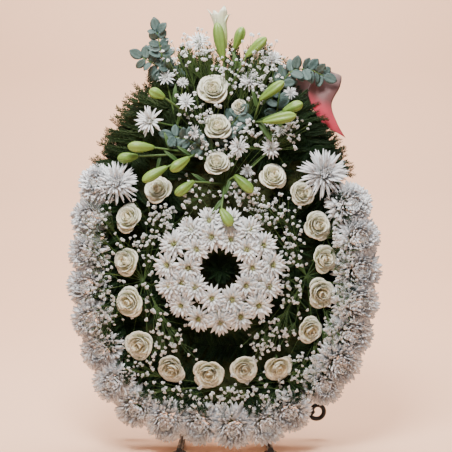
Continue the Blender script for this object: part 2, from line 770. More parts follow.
def write_setting_tree() -> Grower:
    """The tree that sets copies of a few shapes on the points of its guide.

    Returns:
        The tree, whose guide's points store each copy's turn, size and pick.
    """
    grower = Grower("setting", {"Shapes": "NodeSocketCollection", "Material": "NodeSocketMaterial"})
    tree, source = grower.tree, grower.source

    def stored(name: str, kind: str) -> Socket:
        """A value stored on the guide's points."""
        return tree.add("GeometryNodeInputNamedAttribute", {"Name": name}, data_type=kind).outputs[0]

    shapes = tree.add("GeometryNodeCollectionInfo", {"Collection": source["Shapes"], "Separate Children": True,
                                                      "Reset Children": True}).outputs[0]
    copies = tree.add("GeometryNodeInstanceOnPoints", {
        "Points": source["Geometry"], "Instance": shapes, "Pick Instance": True, "Instance Index": stored("pick", "INT"),
        "Rotation": stored("turn", "QUATERNION"), "Scale": stored("size", "FLOAT_VECTOR"),
    }).outputs[0]
    grower.end(copies)
    return grower


def write_frond_tree() -> Grower:
    """The tree that sets needles round a twig's line, shorter towards its tip, on a thin stem.

    Returns:
        The tree, whose guide is the twig's curve.
    """
    value = "NodeSocketFloat"
    grower = Grower("frond", {
        "Needle": "NodeSocketCollection", "Step": value, "Spread": value, "Taper": value, "Flat": value,
        "Stem": value, "Seed": "NodeSocketInt", "Material": "NodeSocketMaterial",
    })
    tree, source = grower.tree, grower.source
    factor = tree.add("GeometryNodeSplineParameter").outputs["Factor"]
    marked = tree.add("GeometryNodeStoreNamedAttribute", {"Geometry": source["Geometry"], "Name": "reach", "Value": factor},
                      data_type="FLOAT", domain="POINT").outputs[0]
    points = tree.add("GeometryNodeCurveToPoints", {"Curve": marked, "Length": source["Step"]}, mode="LENGTH").outputs
    reach = tree.add("GeometryNodeInputNamedAttribute", {"Name": "reach"}, data_type="FLOAT").outputs[0]
    ahead = tree.add("FunctionNodeAxesToRotation", {0: points["Tangent"], 1: (0.0, 0.0, 1.0)},
                     primary_axis="X", secondary_axis="Z").outputs[0]
    index = tree.add("GeometryNodeInputIndex").outputs[0]
    # Needles stand in turn to the left and to the right, swung out of the twig's plane by the flatness.
    side = tree.math("SUBTRACT", tree.math("MULTIPLY", tree.math("MODULO", index, 2.0), 2.0), 1.0)
    spread = tree.math("MULTIPLY", side, tree.math("MULTIPLY", source["Spread"], grower.between(0.8, 1.2, 1)))
    swing = tree.math("MULTIPLY", grower.between(-1.0, 1.0, 2), source["Flat"])
    turn = tree.add("ShaderNodeCombineXYZ", {0: swing, 1: 0.0, 2: spread}).outputs[0]
    facing = tree.add("FunctionNodeRotateRotation", {0: ahead, 1: tree.add("FunctionNodeEulerToRotation", {0: turn}).outputs[0]},
                      rotation_space="LOCAL").outputs[0]
    size = tree.math("MULTIPLY", tree.math("SUBTRACT", 1.0, tree.math("MULTIPLY", reach, source["Taper"])),
                     grower.between(0.8, 1.15, 3))
    needles = tree.add("GeometryNodeCollectionInfo", {"Collection": source["Needle"]}).outputs[0]
    copies = tree.add("GeometryNodeInstanceOnPoints", {
        "Points": points["Points"], "Instance": needles, "Rotation": facing, "Scale": size}).outputs[0]
    profile = tree.add("GeometryNodeCurvePrimitiveCircle", {"Resolution": 3, "Radius": source["Stem"]}).outputs[0]
    stem = tree.add("GeometryNodeCurveToMesh", {"Curve": marked, "Profile Curve": profile, "Fill Caps": True}).outputs[0]
    joined = tree.add("GeometryNodeJoinGeometry", {0: copies})
    tree.group.links.new(stem, joined.inputs[0])
    grower.end(joined.outputs[0])
    return grower


def write_stem_tree() -> Grower:
    """The tree that gives round thickness to lines, by the radius stored at each of their points.

    Returns:
        The tree, whose guide is a curve.
    """
    grower = Grower("stem", {"Sides": "NodeSocketInt", "Material": "NodeSocketMaterial"})
    tree, source = grower.tree, grower.source
    factor = tree.add("GeometryNodeSplineParameter").outputs["Factor"]
    marked = tree.add("GeometryNodeStoreNamedAttribute", {"Geometry": source["Geometry"], "Name": "along", "Value": factor},
                      data_type="FLOAT", domain="POINT").outputs[0]
    profile = tree.add("GeometryNodeCurvePrimitiveCircle", {"Resolution": source["Sides"], "Radius": 1.0}).outputs[0]
    radius = tree.add("GeometryNodeInputRadius").outputs[0]
    made = tree.add("GeometryNodeCurveToMesh", {"Curve": marked, "Profile Curve": profile, "Scale": radius, "Fill Caps": True})
    grower.end(made.outputs[0])
    return grower


BLOOM = write_bloom_tree()
SETTING = write_setting_tree()
FROND = write_frond_tree()
STEM = write_stem_tree()


@dataclass
class Spot:
    """Where one copy stands in the upright wreath: its place, turn, size, kind and tone."""

    place: Vector
    turn: Quaternion
    size: tuple[float, float, float] = (1.0, 1.0, 1.0)
    pick: int = 0
    tone: float = 0.5


@dataclass
class Line:
    """A stem, wire or rod: its points in the upright wreath and its radius at each."""

    points: list[Vector]
    radii: list[float]
    tone: float = 0.5


def helpers(name: str, objects: Iterable[bpy.types.Object]) -> bpy.types.Collection:
    """Puts shapes that are only copied into a collection outside the scene, in their order."""
    collection = bpy.data.collections.new(name)
    for i, thing in enumerate(objects):
        thing.name = f"{name}_{i:02d}"
        collection.objects.link(thing)
    return collection


def set_copies(name: str, spots: Sequence[Spot], shapes: bpy.types.Collection, material: bpy.types.Material,
               move: Matrix = PLACE) -> bpy.types.Object:
    """Sets copies of shapes on spots as one mesh.

    Args:
        name: the new object's name.
        spots: where the copies stand.
        shapes: what is copied.
        material: the copies' material.
        move: the move from the spots' frame to the row frame.

    Returns:
        The new object.
    """
    mesh = bpy.data.meshes.new(name + "_spots")
    turned = move.to_quaternion()
    mesh.from_pydata([move @ spot.place for spot in spots], [], [])
    values = {
        "turn": ("QUATERNION", "value", [x for spot in spots for x in turned @ spot.turn]),
        "size": ("FLOAT_VECTOR", "vector", [x for spot in spots for x in spot.size]),
        "pick": ("INT", "value", [spot.pick for spot in spots]),
        "tone": ("FLOAT", "value", [spot.tone for spot in spots]),
    }
    for label, (kind, field_name, flat) in values.items():
        mesh.attributes.new(label, kind, "POINT").data.foreach_set(field_name, flat)
    return SETTING.run(name, bpy.data.objects.new(name + "_spots", mesh), {"Shapes": shapes, "Material": material})


def curve_guide(name: str, lines: Sequence[Line], move: Matrix) -> bpy.types.Object:
    """A curve object through the points of lines, with their radii."""
    curve = bpy.data.curves.new(name, "CURVE")
    curve.dimensions = "3D"
    for line in lines:
        spline = curve.splines.new("POLY")
        spline.points.add(len(line.points) - 1)
        for point, place, radius in zip(spline.points, line.points, line.radii):
            point.co = (*(move @ place), 1.0)
            point.radius = radius
    return bpy.data.objects.new(name, curve)


def set_stems(name: str, lines: Sequence[Line], material: bpy.types.Material, sides: int = 5,
              move: Matrix = PLACE) -> bpy.types.Object:
    """Makes lines into round stems as one mesh."""
    return STEM.run(name, curve_guide(name + "_lines", lines, move), {"Sides": sides, "Material": material})


def join(name: str, parts: Sequence[bpy.types.Object]) -> bpy.types.Object:
    """Joins parts into one piece in the scene.

    Args:
        name: the piece's name.
        parts: the parts, which aren't in the scene yet.

    Returns:
        The piece.
    """
    for part in parts:
        bpy.context.scene.collection.objects.link(part)
    first = parts[0]
    if len(parts) > 1:
        with bpy.context.temp_override(active_object=first, object=first, selected_objects=list(parts),
                                       selected_editable_objects=list(parts)):
            bpy.ops.object.join()
    first.name = name
    first.data.name = name
    return first


def present(piece: bpy.types.Object, slot: Slot, *nodes: str) -> bpy.types.Object:
    """Declares a finished piece: its slot, its body and the solids that it stands for."""
    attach(piece, "root")
    if nodes:
        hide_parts(*nodes)
    log.info("%s: %d faces for %s", piece.name, len(piece.data.polygons), ", ".join(nodes) or "no solid")
    return piece


def smooth_path(points: Sequence[Vector], steps: int) -> list[Vector]:
    """A smooth path through points, by the uniform Catmull-Rom rule.

    Args:
        points: the points that it passes.
        steps: how many steps it takes from each point to the next.

    Returns:
        The path's points.
    """
    ends = [points[0] * 2 - points[1], *points, points[-1] * 2 - points[-2]]
    path = []
    for a, b, c, d in zip(ends, ends[1:], ends[2:], ends[3:]):
        for k in range(steps):
            t = k / steps
            path.append(0.5 * (2 * b + (c - a) * t + (2 * a - 5 * b + 4 * c - d) * t * t + (3 * b - a - 3 * c + d) * t ** 3))
    return [*path, points[-1].copy()]


def tapered(points: list[Vector], start: float, end: float, tone: float = 0.5) -> Line:
    """A line whose radius goes evenly from one value to another."""
    last = len(points) - 1
    return Line(points, [start + (end - start) * i / last for i in range(last + 1)], tone)


def bent_stem(start: Vector, end: Vector, start_radius: float, end_radius: float, bow: Vector) -> Line:
    """A stem between two points that bows to one side."""
    middle = (start + end) / 2 + bow
    return tapered(smooth_path([start, middle, end], 4), start_radius, end_radius)


# Flowers


@dataclass(frozen=True)
class Head:
    """A flower head of many petals, one unit in radius, facing +Z."""

    name: str
    petals: int
    blades: tuple[Blade, ...]
    core: float
    core_flat: float
    outer_angle: float
    inner_angle: float
    outer_size: float = 1.0
    inner_size: float = 1.0
    bias: float = 1.0
    jitter: float = 0.12

    def grow(self, seed: int, material: bpy.types.Material) -> bpy.types.Object:
        """Grows one head.

        Args:
            seed: what makes it differ from other heads of its kind.
            material: its petals' material.

        Returns:
            The head, not in the scene.
        """
        shapes = helpers(self.name + "_petals", [blade.make("petal") for blade in self.blades])
        guide = bpy.data.objects.new("guide", bpy.data.meshes.new("guide"))
        return BLOOM.run(f"{self.name}_{seed}", guide, {
            "Petals": self.petals, "Kinds": len(self.blades), "Shapes": shapes, "Core": self.core,
            "Core Flat": self.core_flat, "Outer Angle": self.outer_angle, "Inner Angle": self.inner_angle,
            "Outer Size": self.outer_size, "Inner Size": self.inner_size, "Bias": self.bias,
            "Jitter": self.jitter, "Seed": seed, "Material": material,
        })

    def variants(self, count: int, material: bpy.types.Material) -> list[bpy.types.Object]:
        """Grows a few heads that differ."""
        return [self.grow(100 + 17 * i, material) for i in range(count)]


NARROW = (0.45, 0.85, 1.0, 0.95, 0.7, 0.18)
SLIM = (0.5, 0.95, 0.95, 0.2)
POINTED_OVAL = (0.30, 0.70, 1.0, 0.92, 0.55, 0.06)
ROUND = (0.35, 0.8, 1.0, 1.0, 0.8, 0.15)

MUM_HEAD = Head(
    "mum", 340, (
        Blade(0.56, 0.185, 0.02, SLIM, -0.35, 0.5), Blade(0.54, 0.190, 0.02, SLIM, 0.45, 0.6),
        Blade(0.52, 0.190, 0.02, SLIM, 1.10, 0.6), Blade(0.44, 0.180, 0.02, SLIM, 1.6, 0.6),
    ), 0.50, 0.80, 1.90, 0.0, 1.04, 0.92, 0.82, 0.14,
)
SPIKY_HEAD = Head(
    "spiky_mum", 170, (
        Blade(0.92, 0.120, 0.02, NARROW, -0.25, 0.8), Blade(0.85, 0.120, 0.02, NARROW, 0.30, 0.8),
        Blade(0.60, 0.120, 0.02, NARROW, 0.9, 0.8),
    ), 0.18, 0.8, 1.70, 0.0, 1.0, 0.80, 0.85, 0.16,
)
DAISY_HEAD = Head(
    "daisy", 42, (
        Blade(0.84, 0.270, 0.02, POINTED_OVAL, -0.25, 0.35), Blade(0.76, 0.250, 0.02, POINTED_OVAL, 0.15, 0.5),
        Blade(0.58, 0.210, 0.02, POINTED_OVAL, 0.50, 0.6),
    ), 0.18, 0.5, 1.60, 0.80, 1.0, 0.80, 1.0, 0.13,
)
DISC = Head(
    "disc", 52, (Blade(0.080, 0.060, 0.035, (0.5, 1.0, 0.9, 0.3), 0.0, 0.0),),
    0.20, 0.70, 1.45, 0.05, 1.0, 0.8, 0.75, 0.10,
)
SPRAY_HEAD = Head(
    "spray_mum", 58, (
        Blade(0.88, 0.170, 0.025, NARROW, -0.15, 0.6), Blade(0.80, 0.160, 0.025, NARROW, 0.15, 0.7),
        Blade(0.50, 0.150, 0.025, NARROW, 0.8, 0.7),
    ), 0.13, 0.6, 1.60, 0.35, 1.0, 0.75, 0.8, 0.14,
)
GYPSO_HEAD = Head(
    "gypsophila_flower", 7, (Blade(0.92, 1.10, 0.35, (0.4, 1.0, 0.7), 0.7, 0.45),),
    0.16, 1.0, 2.0, 0.15, 1.0, 0.95, 0.8, 0.18,
)


@dataclass
class Materials:
    """Every finish of the wreath, made once."""

    mum: bpy.types.Material = field(default_factory=lambda: PetalFinish(
        "mum_petal", (0.76, 0.79, 0.72), (0.88, 0.90, 0.92), (0.94, 0.95, 0.97), (0.90, 0.92, 0.87), (0.95, 0.96, 0.98),
        0.75, glow=0.18).make())
    daisy: bpy.types.Material = field(default_factory=lambda: PetalFinish(
        "daisy_petal", (0.70, 0.74, 0.58), (0.88, 0.90, 0.90), (0.93, 0.94, 0.95), (0.88, 0.90, 0.82), (0.93, 0.94, 0.95),
        0.80).make())
    disc: bpy.types.Material = field(default_factory=lambda: PetalFinish(
        "daisy_disc", (0.40, 0.42, 0.10), (0.60, 0.60, 0.24), (0.74, 0.72, 0.40), (0.42, 0.50, 0.16), (0.78, 0.76, 0.44),
        0.60, roughness=0.7).make())
    rose: bpy.types.Material = field(default_factory=lambda: PetalFinish(
        "rose_petal", (0.60, 0.63, 0.36), (0.83, 0.82, 0.62), (0.90, 0.90, 0.77), (0.88, 0.81, 0.54), (0.82, 0.70, 0.48),
        0.40, 0.94, 1.6, 0.48).make())
    lily: bpy.types.Material = field(default_factory=lambda: PetalFinish(
        "lily_petal", (0.12, 0.24, 0.03), (0.38, 0.50, 0.15), (0.84, 0.87, 0.72), (0.60, 0.66, 0.42), (0.50, 0.64, 0.28),
        0.99, 0.97, 0.8, 0.42).make())
    lily_bud: bpy.types.Material = field(default_factory=lambda: LeafFinish(
        "lily_bud", (0.055, 0.125, 0.014), (0.200, 0.330, 0.055), (0.250, 0.380, 0.080), (0.32, 0.44, 0.15), 0.20,
        0.75, 0.5, 0.36, 0.25, 3.0).make())
    stem: bpy.types.Material = field(default_factory=lambda: LeafFinish(
        "green_stem", (0.040, 0.085, 0.020), (0.110, 0.190, 0.050), (0.120, 0.200, 0.055), (0.16, 0.2, 0.1), 0.15).make())
    leaf: bpy.types.Material = field(default_factory=lambda: LeafFinish(
        "flower_leaf", (0.022, 0.060, 0.014), (0.060, 0.120, 0.030), (0.070, 0.130, 0.034), (0.10, 0.15, 0.08), 0.15,
        0.4).make())
    eucalyptus: bpy.types.Material = field(default_factory=lambda: LeafFinish(
        "eucalyptus_leaf", (0.014, 0.036, 0.031), (0.085, 0.140, 0.124), (0.050, 0.092, 0.080), (0.22, 0.30, 0.29), 0.30,
        0.45, 0.6, 0.55, 0.3).make())
    conifer: bpy.types.Material = field(default_factory=lambda: FoliageFinish("conifer_needles").make())
    gypsophila: bpy.types.Material = field(default_factory=lambda: PetalFinish(
        "gypsophila_petal", (0.55, 0.60, 0.45), (0.80, 0.81, 0.80), (0.88, 0.88, 0.88), (0.82, 0.84, 0.78), (0.9, 0.9, 0.9),
        0.7).make())
    iron: bpy.types.Material = field(default_factory=lambda: IronFinish().make())
    board: bpy.types.Material = field(default_factory=lambda: WoodFinish().make())
    moss: bpy.types.Material = field(default_factory=lambda: MossFinish().make())
    ribbon: bpy.types.Material = field(default_factory=lambda: RibbonFinish().make())


def into_base(place: Vector, radius: float) -> Line:
    """A cut stem from a flower's back straight into the base."""
    entry = Vector((place.x, BASE_FRONT, place.z))
    return tapered([place, entry, entry - FRONT * STEM_DEPTH], radius, radius)


@dataclass
class Border:
    """The border of large white chrysanthemums round the lower two thirds of the wreath."""

    finishes: Materials
    start: float = math.radians(65)
    end: float = math.radians(290)
    heads: int = 21
    groups: int = 4
    share: float = 0.905
    stem_share: float = 0.795
    radius: float = 0.053
    left_radius: float = 0.047
    first_shift: Vector = field(default_factory=lambda: Vector((-0.034, -0.006, 0.0)))
    extra_shift: Vector = field(default_factory=lambda: Vector((0.036, -0.012, 0.004)))
    depth: float = -0.050
    seed: int = 31

    def angles(self) -> list[float]:
        """Angles that space the heads evenly along the egg."""
        marks = np.linspace(self.start, self.end, 401)
        points = np.array([egg(mark, self.share) for mark in marks])
        walk = np.concatenate(([0.0], np.cumsum(np.linalg.norm(np.diff(points, axis=0), axis=1))))
        return list(np.interp(np.linspace(0, walk[-1], self.heads), walk, marks))

    def build(self) -> None:
        """Grows the heads and sets them in their groups."""
        draw = random.Random(self.seed)
        shapes = helpers("mum_heads", [*MUM_HEAD.variants(4, self.finishes.mum), *SPIKY_HEAD.variants(1, self.finishes.mum)])
        leaves = helpers("mum_leaves", [
            Blade(0.050, 0.024, 0.0012, (0.2, 0.5, 0.4, 0.9, 0.65, 1.0, 0.7, 0.35, 0.05), -0.5, 0.3, 5, 0.25).make("leaf")])
        angles = self.angles()
        curl = min(np.linspace(1.6, 3.1, 301), key=lambda mark: (egg(mark, self.share) - Vector((0.212, 0, 0.058))).xz.length)
        for group in range(self.groups):
            ends = [round(self.heads * (group + i) / self.groups) for i in (0, 1)]
            spots, stems, greens = [], [], []
            for i in range(*ends):
                left = math.sin(angles[i]) < -0.3
                share = self.share + draw.uniform(-0.010, 0.010) + (0.022 if left else -0.012)
                share -= 0.10 * max(0.0, -math.cos(angles[i])) * math.sin(angles[i]) ** 2
                near_scroll = abs(angles[i] - curl) < 0.24
                angles[i] += math.copysign(0.040, angles[i] - curl) if near_scroll else 0.0
                head = egg(angles[i], share - (0.008 if near_scroll else 0.0), self.depth + 0.006 * (i % 2))
                head += self.first_shift if i == 0 else Vector()
                outward = (egg(angles[i], 1.0) - egg(angles[i], 0.9)).normalized()
                look = FRONT + outward * 0.35 + Vector((draw.uniform(-1, 1), 0, draw.uniform(-1, 1))) * 0.10
                radius = self.left_radius if left or near_scroll else self.radius if head.z > 0.15 else 0.050
                size = radius * draw.uniform(0.96, 1.04)
                pick = 4 if i == 0 else draw.randrange(4)
                spots.append(Spot(head, look_along(look, draw.uniform(0, 6)), (size,) * 3, pick, draw.random()))
                entry = egg(angles[i], self.stem_share, BASE_FRONT)
                inner = entry + (entry - head).normalized() * STEM_DEPTH
                stems.append(tapered([head, entry, inner], 0.0032, 0.0030))
                if i == self.heads - 1:
                    extra = head + self.extra_shift
                    spots.append(Spot(extra, look_along(FRONT + Vector((0.25, 0, 0.2)), 1.0), (size,) * 3, 4, 0.8))
                    stems.append(tapered([extra, extra.lerp(entry, 0.6), entry], 0.0030, 0.0030))
                for k in range(3 if head.z > 0.12 else 1):
                    away = (outward * draw.uniform(-0.2, 1.0) + Vector((draw.uniform(-1, 1), 0, draw.uniform(-1, 1)))).normalized()
                    greens.append(Spot(head.lerp(entry, 0.3 + 0.2 * k), grow_along(away + FRONT * 0.2, FRONT),
                                       (draw.uniform(0.8, 1.05),) * 3, 0, draw.random()))
            name = f"large_mums_{group + 1}"
            piece = join(name, [
                set_copies(name, spots, shapes, self.finishes.mum), set_stems(name + "_stems", stems, self.finishes.stem),
                set_copies(name + "_leaves", greens, leaves, self.finishes.leaf),
            ])
            present(piece, Slot.CHRYSANTHEMUM, f"border_chrysanthemums_{group + 1}")


@dataclass
class DaisyRing:
    """The ring of white daisy chrysanthemums about the wreath's open middle."""

    finishes: Materials
    rows: tuple[tuple[float, int, float], ...] = ((0.067, 10, -0.088), (0.109, 15, -0.082), (0.088, 5, -0.084))
    hole_offset: Vector = field(default_factory=lambda: Vector((0.004, 0, 0.006)))
    groups: int = 5
    radius: float = 0.034
    seed: int = 32

    def point(self, reach: float, angle: float, depth: float) -> Vector:
        """A point about the ring's middle, clockwise from its top."""
        return Vector((RING_X + reach * math.sin(angle), depth, RING_Z + reach * math.cos(angle)))

    def build(self) -> None:
        """Grows the heads and sets them in their groups."""
        draw = random.Random(self.seed)
        petals = helpers("daisy_heads", DAISY_HEAD.variants(5, self.finishes.daisy))
        discs = helpers("daisy_discs", DISC.variants(5, self.finishes.disc))
        groups: list[list[tuple[float, float, float]]] = [[] for _ in range(self.groups)]
        for reach, count, depth in self.rows:
            for i in range(count):
                angle = math.tau * (i + 0.5) / count
                groups[int(angle / math.tau * self.groups)].append((reach, angle, depth))
        for g, heads in enumerate(groups):
            hub = self.point(0.086, math.tau * (g + 0.5) / self.groups, BASE_FRONT - 0.022)
            stems = [into_base(hub, 0.0032)]
            spots = []
            for reach, angle, depth in heads:
                centre = self.point(reach + draw.uniform(-0.004, 0.004), angle, depth + draw.uniform(-0.003, 0.003))
                centre += self.hole_offset if reach < 0.07 else Vector()
                tilt = Vector((math.sin(angle), 0, math.cos(angle))) * max(0.0, (reach - 0.07) * 7)
                look = FRONT + tilt + Vector((draw.uniform(-1, 1), 0, draw.uniform(-1, 1))) * 0.12
                size = self.radius * draw.uniform(0.94, 1.06)
                spots.append(Spot(centre, look_along(look, draw.uniform(0, 6)), (size,) * 3, draw.randrange(5), draw.random()))
                stems.append(bent_stem(hub, centre, 0.0022, 0.0020, Vector((0, 0.004, 0))))
            name = f"daisies_{g + 1}"
            piece = join(name, [
                set_copies(name, spots, petals, self.finishes.daisy),
                set_copies(name + "_discs", spots, discs, self.finishes.disc),
                set_stems(name + "_stems", stems, self.finishes.stem),
            ])
            present(piece, Slot.DAISY, f"daisy_ring_{g + 1}")


@dataclass
class Roses:
    """The ivory roses round the ring and up the top spray, each with its sepals and stem."""

    finishes: Materials
    places: tuple[tuple[int, int, int], ...] = (
        (-141, 559, 57), (-202, 498, 60), (-206, 409, 57), (-202, 323, 60), (-180, 232, 60), (-112, 182, 60),
        (-34, 172, 63), (41, 180, 55), (112, 187, 58), (180, 262, 53), (200, 341, 61), (207, 413, 57),
        (195, 483, 59), (163, 552, 50), (99, 586, 58), (-18, 614, 54), (-15, 693, 57), (-27, 773, 64), (30, 740, 32),
    )
    depth: float = -0.062
    seed: int = 33

    def flower(self, kind: int) -> bpy.types.Object:
        """Grows one rose, one unit in radius, facing +Z.

        Args:
            kind: which of the differing roses it is.

        Returns:
            The rose, not in the scene.
        """
        draw = random.Random(self.seed + kind)
        tight = draw.uniform(-0.03, 0.04)
        petals = [
            RosePetal(0.10, 0.84, 0.98, 0.62, 0.95, 0.10, 0.16, 1.0), RosePetal(0.10, 0.76, 0.86, 0.70, 0.95, 0.10, 0.12, -1.0),
            RosePetal(0.10, 0.66, 0.72, 0.78, 0.98, 0.08, 0.08, 1.0), RosePetal(0.10, 0.54, 0.57 + tight, 0.84, 1.05, 0.06, 0.05, 1.0),
            RosePetal(0.08, 0.43, 0.44 + tight, 0.88, 1.15, 0.05, 0.03, -1.0), RosePetal(0.06, 0.31, 0.31, 0.90, 1.35, 0.03, 0.02, 1.0),
            RosePetal(0.05, 0.20, 0.18, 0.90, 1.7, 0.02, 0.0, 1.0), RosePetal(0.04, 0.10, 0.08, 0.88, 2.4, 0.0, 0.0, 1.0),
        ]
        shapes = helpers("rose_petals", [petal.make("rose_petal") for petal in petals])
        guide = bpy.data.objects.new("guide", bpy.data.meshes.new("guide"))
        return BLOOM.run(f"rose_kind_{kind}", guide, {
            "Petals": 27 + kind % 3, "Kinds": len(petals), "Shapes": shapes, "Core": 0.0, "Core Flat": 1.0,
            "Outer Angle": math.pi / 2 + 0.14, "Inner Angle": math.pi / 2, "Outer Size": 1.03, "Inner Size": 1.0,
            "Bias": 0.95, "Jitter": 0.085, "Seed": 40 + kind, "Material": self.finishes.rose,
        })

    def build(self) -> None:
        """Grows five roses and sets one of them in each place."""
        draw = random.Random(self.seed)
        shapes = helpers("roses", [self.flower(kind) for kind in range(5)])
        sepals = helpers("sepals", [Blade(0.022, 0.007, 0.0008, POINTED_OVAL, -0.9, 0.3).make("sepal")])
        ring = Vector((RING_X, 0, RING_Z))
        for i, (x, z, width) in enumerate(self.places):
            radius = width * MM / 2
            depth = self.depth + (0.0 if width > 40 else 0.010)
            back = mm(x, 0, z) + Vector((0, depth + radius * 0.25, 0))
            outward = (Vector((back.x, 0, back.z)) - ring).normalized() * draw.uniform(0.25, 0.60)
            turn = look_along(Vector((outward.x, -1, outward.z)), draw.uniform(0, 6))
            spot = Spot(back, turn, (radius * 0.98, radius * 0.98, radius * 1.08), draw.randrange(5), draw.random())
            rim = []
            for k in range(5):
                side = turn @ Vector((math.cos(k * 1.257), math.sin(k * 1.257), -0.15))
                rim.append(Spot(back, grow_along(side, turn @ Vector((0, 0, 1))), (1, 1, 1), 0, draw.random()))
            name = f"ivory_rose_{i + 1:02d}"
            piece = join(name, [
                set_copies(name, [spot], shapes, self.finishes.rose),
                set_copies(name + "_sepals", rim, sepals, self.finishes.leaf),
                set_stems(name + "_stem", [into_base(back + FRONT * 0.004, 0.0030)], self.finishes.stem, 7),
            ])
            present(piece, Slot.ROSE, f"rose_{i + 1:02d}")


@dataclass
class Lilies:
    """The lily stems, each forking to its long green buds, and the half-open lily at the tip."""

    finishes: Materials
    stems: dict[str, tuple] = field(default_factory=lambda: {
        "left": ((-62, -40, 640), (
            ((-150, -86, 651), (-207, -92, 653)), ((-186, -62, 634), (-231, -66, 628)),
            ((-122, -104, 609), (-174, -112, 578)), ((-76, -84, 630), (-116, -96, 601)))),
        "upper_left": ((-76, -34, 722), (((-128, -84, 757), (-161, -90, 772)),)),
        "centre": ((0, -40, 574), (
            ((20, -84, 592), (60, -92, 556)), ((-9, -106, 520), (14, -114, 484)), ((-66, -78, 580), (-106, -88, 550)))),
        "right": ((62, -40, 708), (
            ((73, -86, 752), (125, -96, 790)), ((79, -104, 704), (150, -112, 717)), ((123, -82, 728), (165, -90, 744)))),
        "top": ((8, -42, 774), (
            ((20, -70, 862), (38, -78, 909)), ((44, -84, 845), (88, -92, 884)), ((-3, -64, 846), (-14, -74, 953)),
            ((-4, -74, 836), (-18, -90, 916)))),
    })
    bud_radius: float = 0.0124
    open_length: float = 0.100
    seed: int = 34

    def open_lily(self) -> list[bpy.types.Object]:
        """Makes the petals and stamens of the half-open lily, one unit long along +X."""
        petals = []
        for k in range(6):
            outline = (0.5, 0.75, 0.92, 1.0, 1.0, 0.98, 0.88, 0.62, 0.08)
            grid = Blade(1.0, 0.34, 0.012, outline, 0.0, 0.0, 7).grid()
            inner, bend = k % 2, 0.17 if k == 3 else 0.11
            for row in grid:
                for point in row:
                    t, y = point[0], point[1]
                    flare = 0.035 + 0.085 * math.sin(min(t / 0.50, 1) * math.pi / 2) + bend * max(0.0, t - 0.60) ** 1.5 / 0.253
                    radius = flare * (0.88 if inner else 1.0)
                    angle = math.tau * k / 6 + y / max(radius, 0.05)
                    drop = (0.8 if k == 3 else 0.1) * max(0.0, t - 0.86)
                    point[:] = (t - drop - 0.06 * inner * t, radius * math.cos(angle), radius * math.sin(angle))
            petals.append(skin(f"lily_petal_{k}", grid, 0.014))
        return petals

    def build(self) -> None:
        """Sets the buds on their forking stems."""
        draw = random.Random(self.seed)
        profile = ((0.0, 0.10), (0.02, 0.34), (0.10, 0.50), (0.25, 0.70), (0.42, 0.90), (0.58, 1.0), (0.72, 0.98),
                   (0.84, 0.84), (0.93, 0.58), (0.98, 0.30), (1.0, 0.06))
        buds = helpers("lily_buds", [bud_skin("bud", profile, lobes, 24, 0.0) for lobes in (0.20, 0.26, 0.32)])
        opened = helpers("open_lily", [petal for petal in self.open_lily()])
        leaves = helpers("lily_leaves", [
            Blade(0.060, 0.013, 0.0010, (0.5, 0.9, 1.0, 0.95, 0.8, 0.5, 0.08), -0.7, 0.5, 5, 0.1).make("leaf")])
        for name, (fork, pairs) in self.stems.items():
            fork = mm(*fork)
            lines = [into_base(fork, 0.0034)]
            spots, open_spots, greens = [], [], []
            for base, tip in pairs:
                base, tip = mm(*base), mm(*tip)
                axis = tip - base
                side = axis.cross(FRONT).normalized()
                turn = grow_along(axis, FRONT) @ Quaternion((1, 0, 0), draw.uniform(0, 6))
                tone = draw.random()
                lines.append(tapered(smooth_path([fork, fork.lerp(base, 0.5) + FRONT * 0.006, base + axis * 0.05], 5), 0.0028, 0.0020))
                if axis.length > self.open_length:
                    open_spots += [Spot(base, grow_along(axis, FRONT), (axis.length,) * 3, k, tone) for k in range(6)]
                else:
                    radius = self.bud_radius * draw.uniform(0.92, 1.05)
                    spots.append(Spot(base, turn, (axis.length, radius, radius), draw.randrange(3), tone))
                way = (axis.normalized() * 0.4 + side * draw.choice((-1, 1)) + FRONT * 0.3).normalized()
                greens.append(Spot(fork.lerp(base, 0.62), grow_along(way, FRONT), (draw.uniform(0.6, 0.9),) * 3, 0, draw.random()))
            parts = [set_stems(f"lily_{name}_stems", lines, self.finishes.stem, 7),
                     set_copies(f"lily_{name}_leaves", greens, leaves, self.finishes.leaf)]
            if spots:
                parts.append(set_copies(f"lily_{name}_buds", spots, buds, self.finishes.lily_bud))
            if open_spots:
                parts.append(set_copies(f"lily_{name}_open", open_spots, opened, self.finishes.lily))
            present(join(f"lilies_{name}", parts), Slot.LILY, f"lily_stem_{name}")


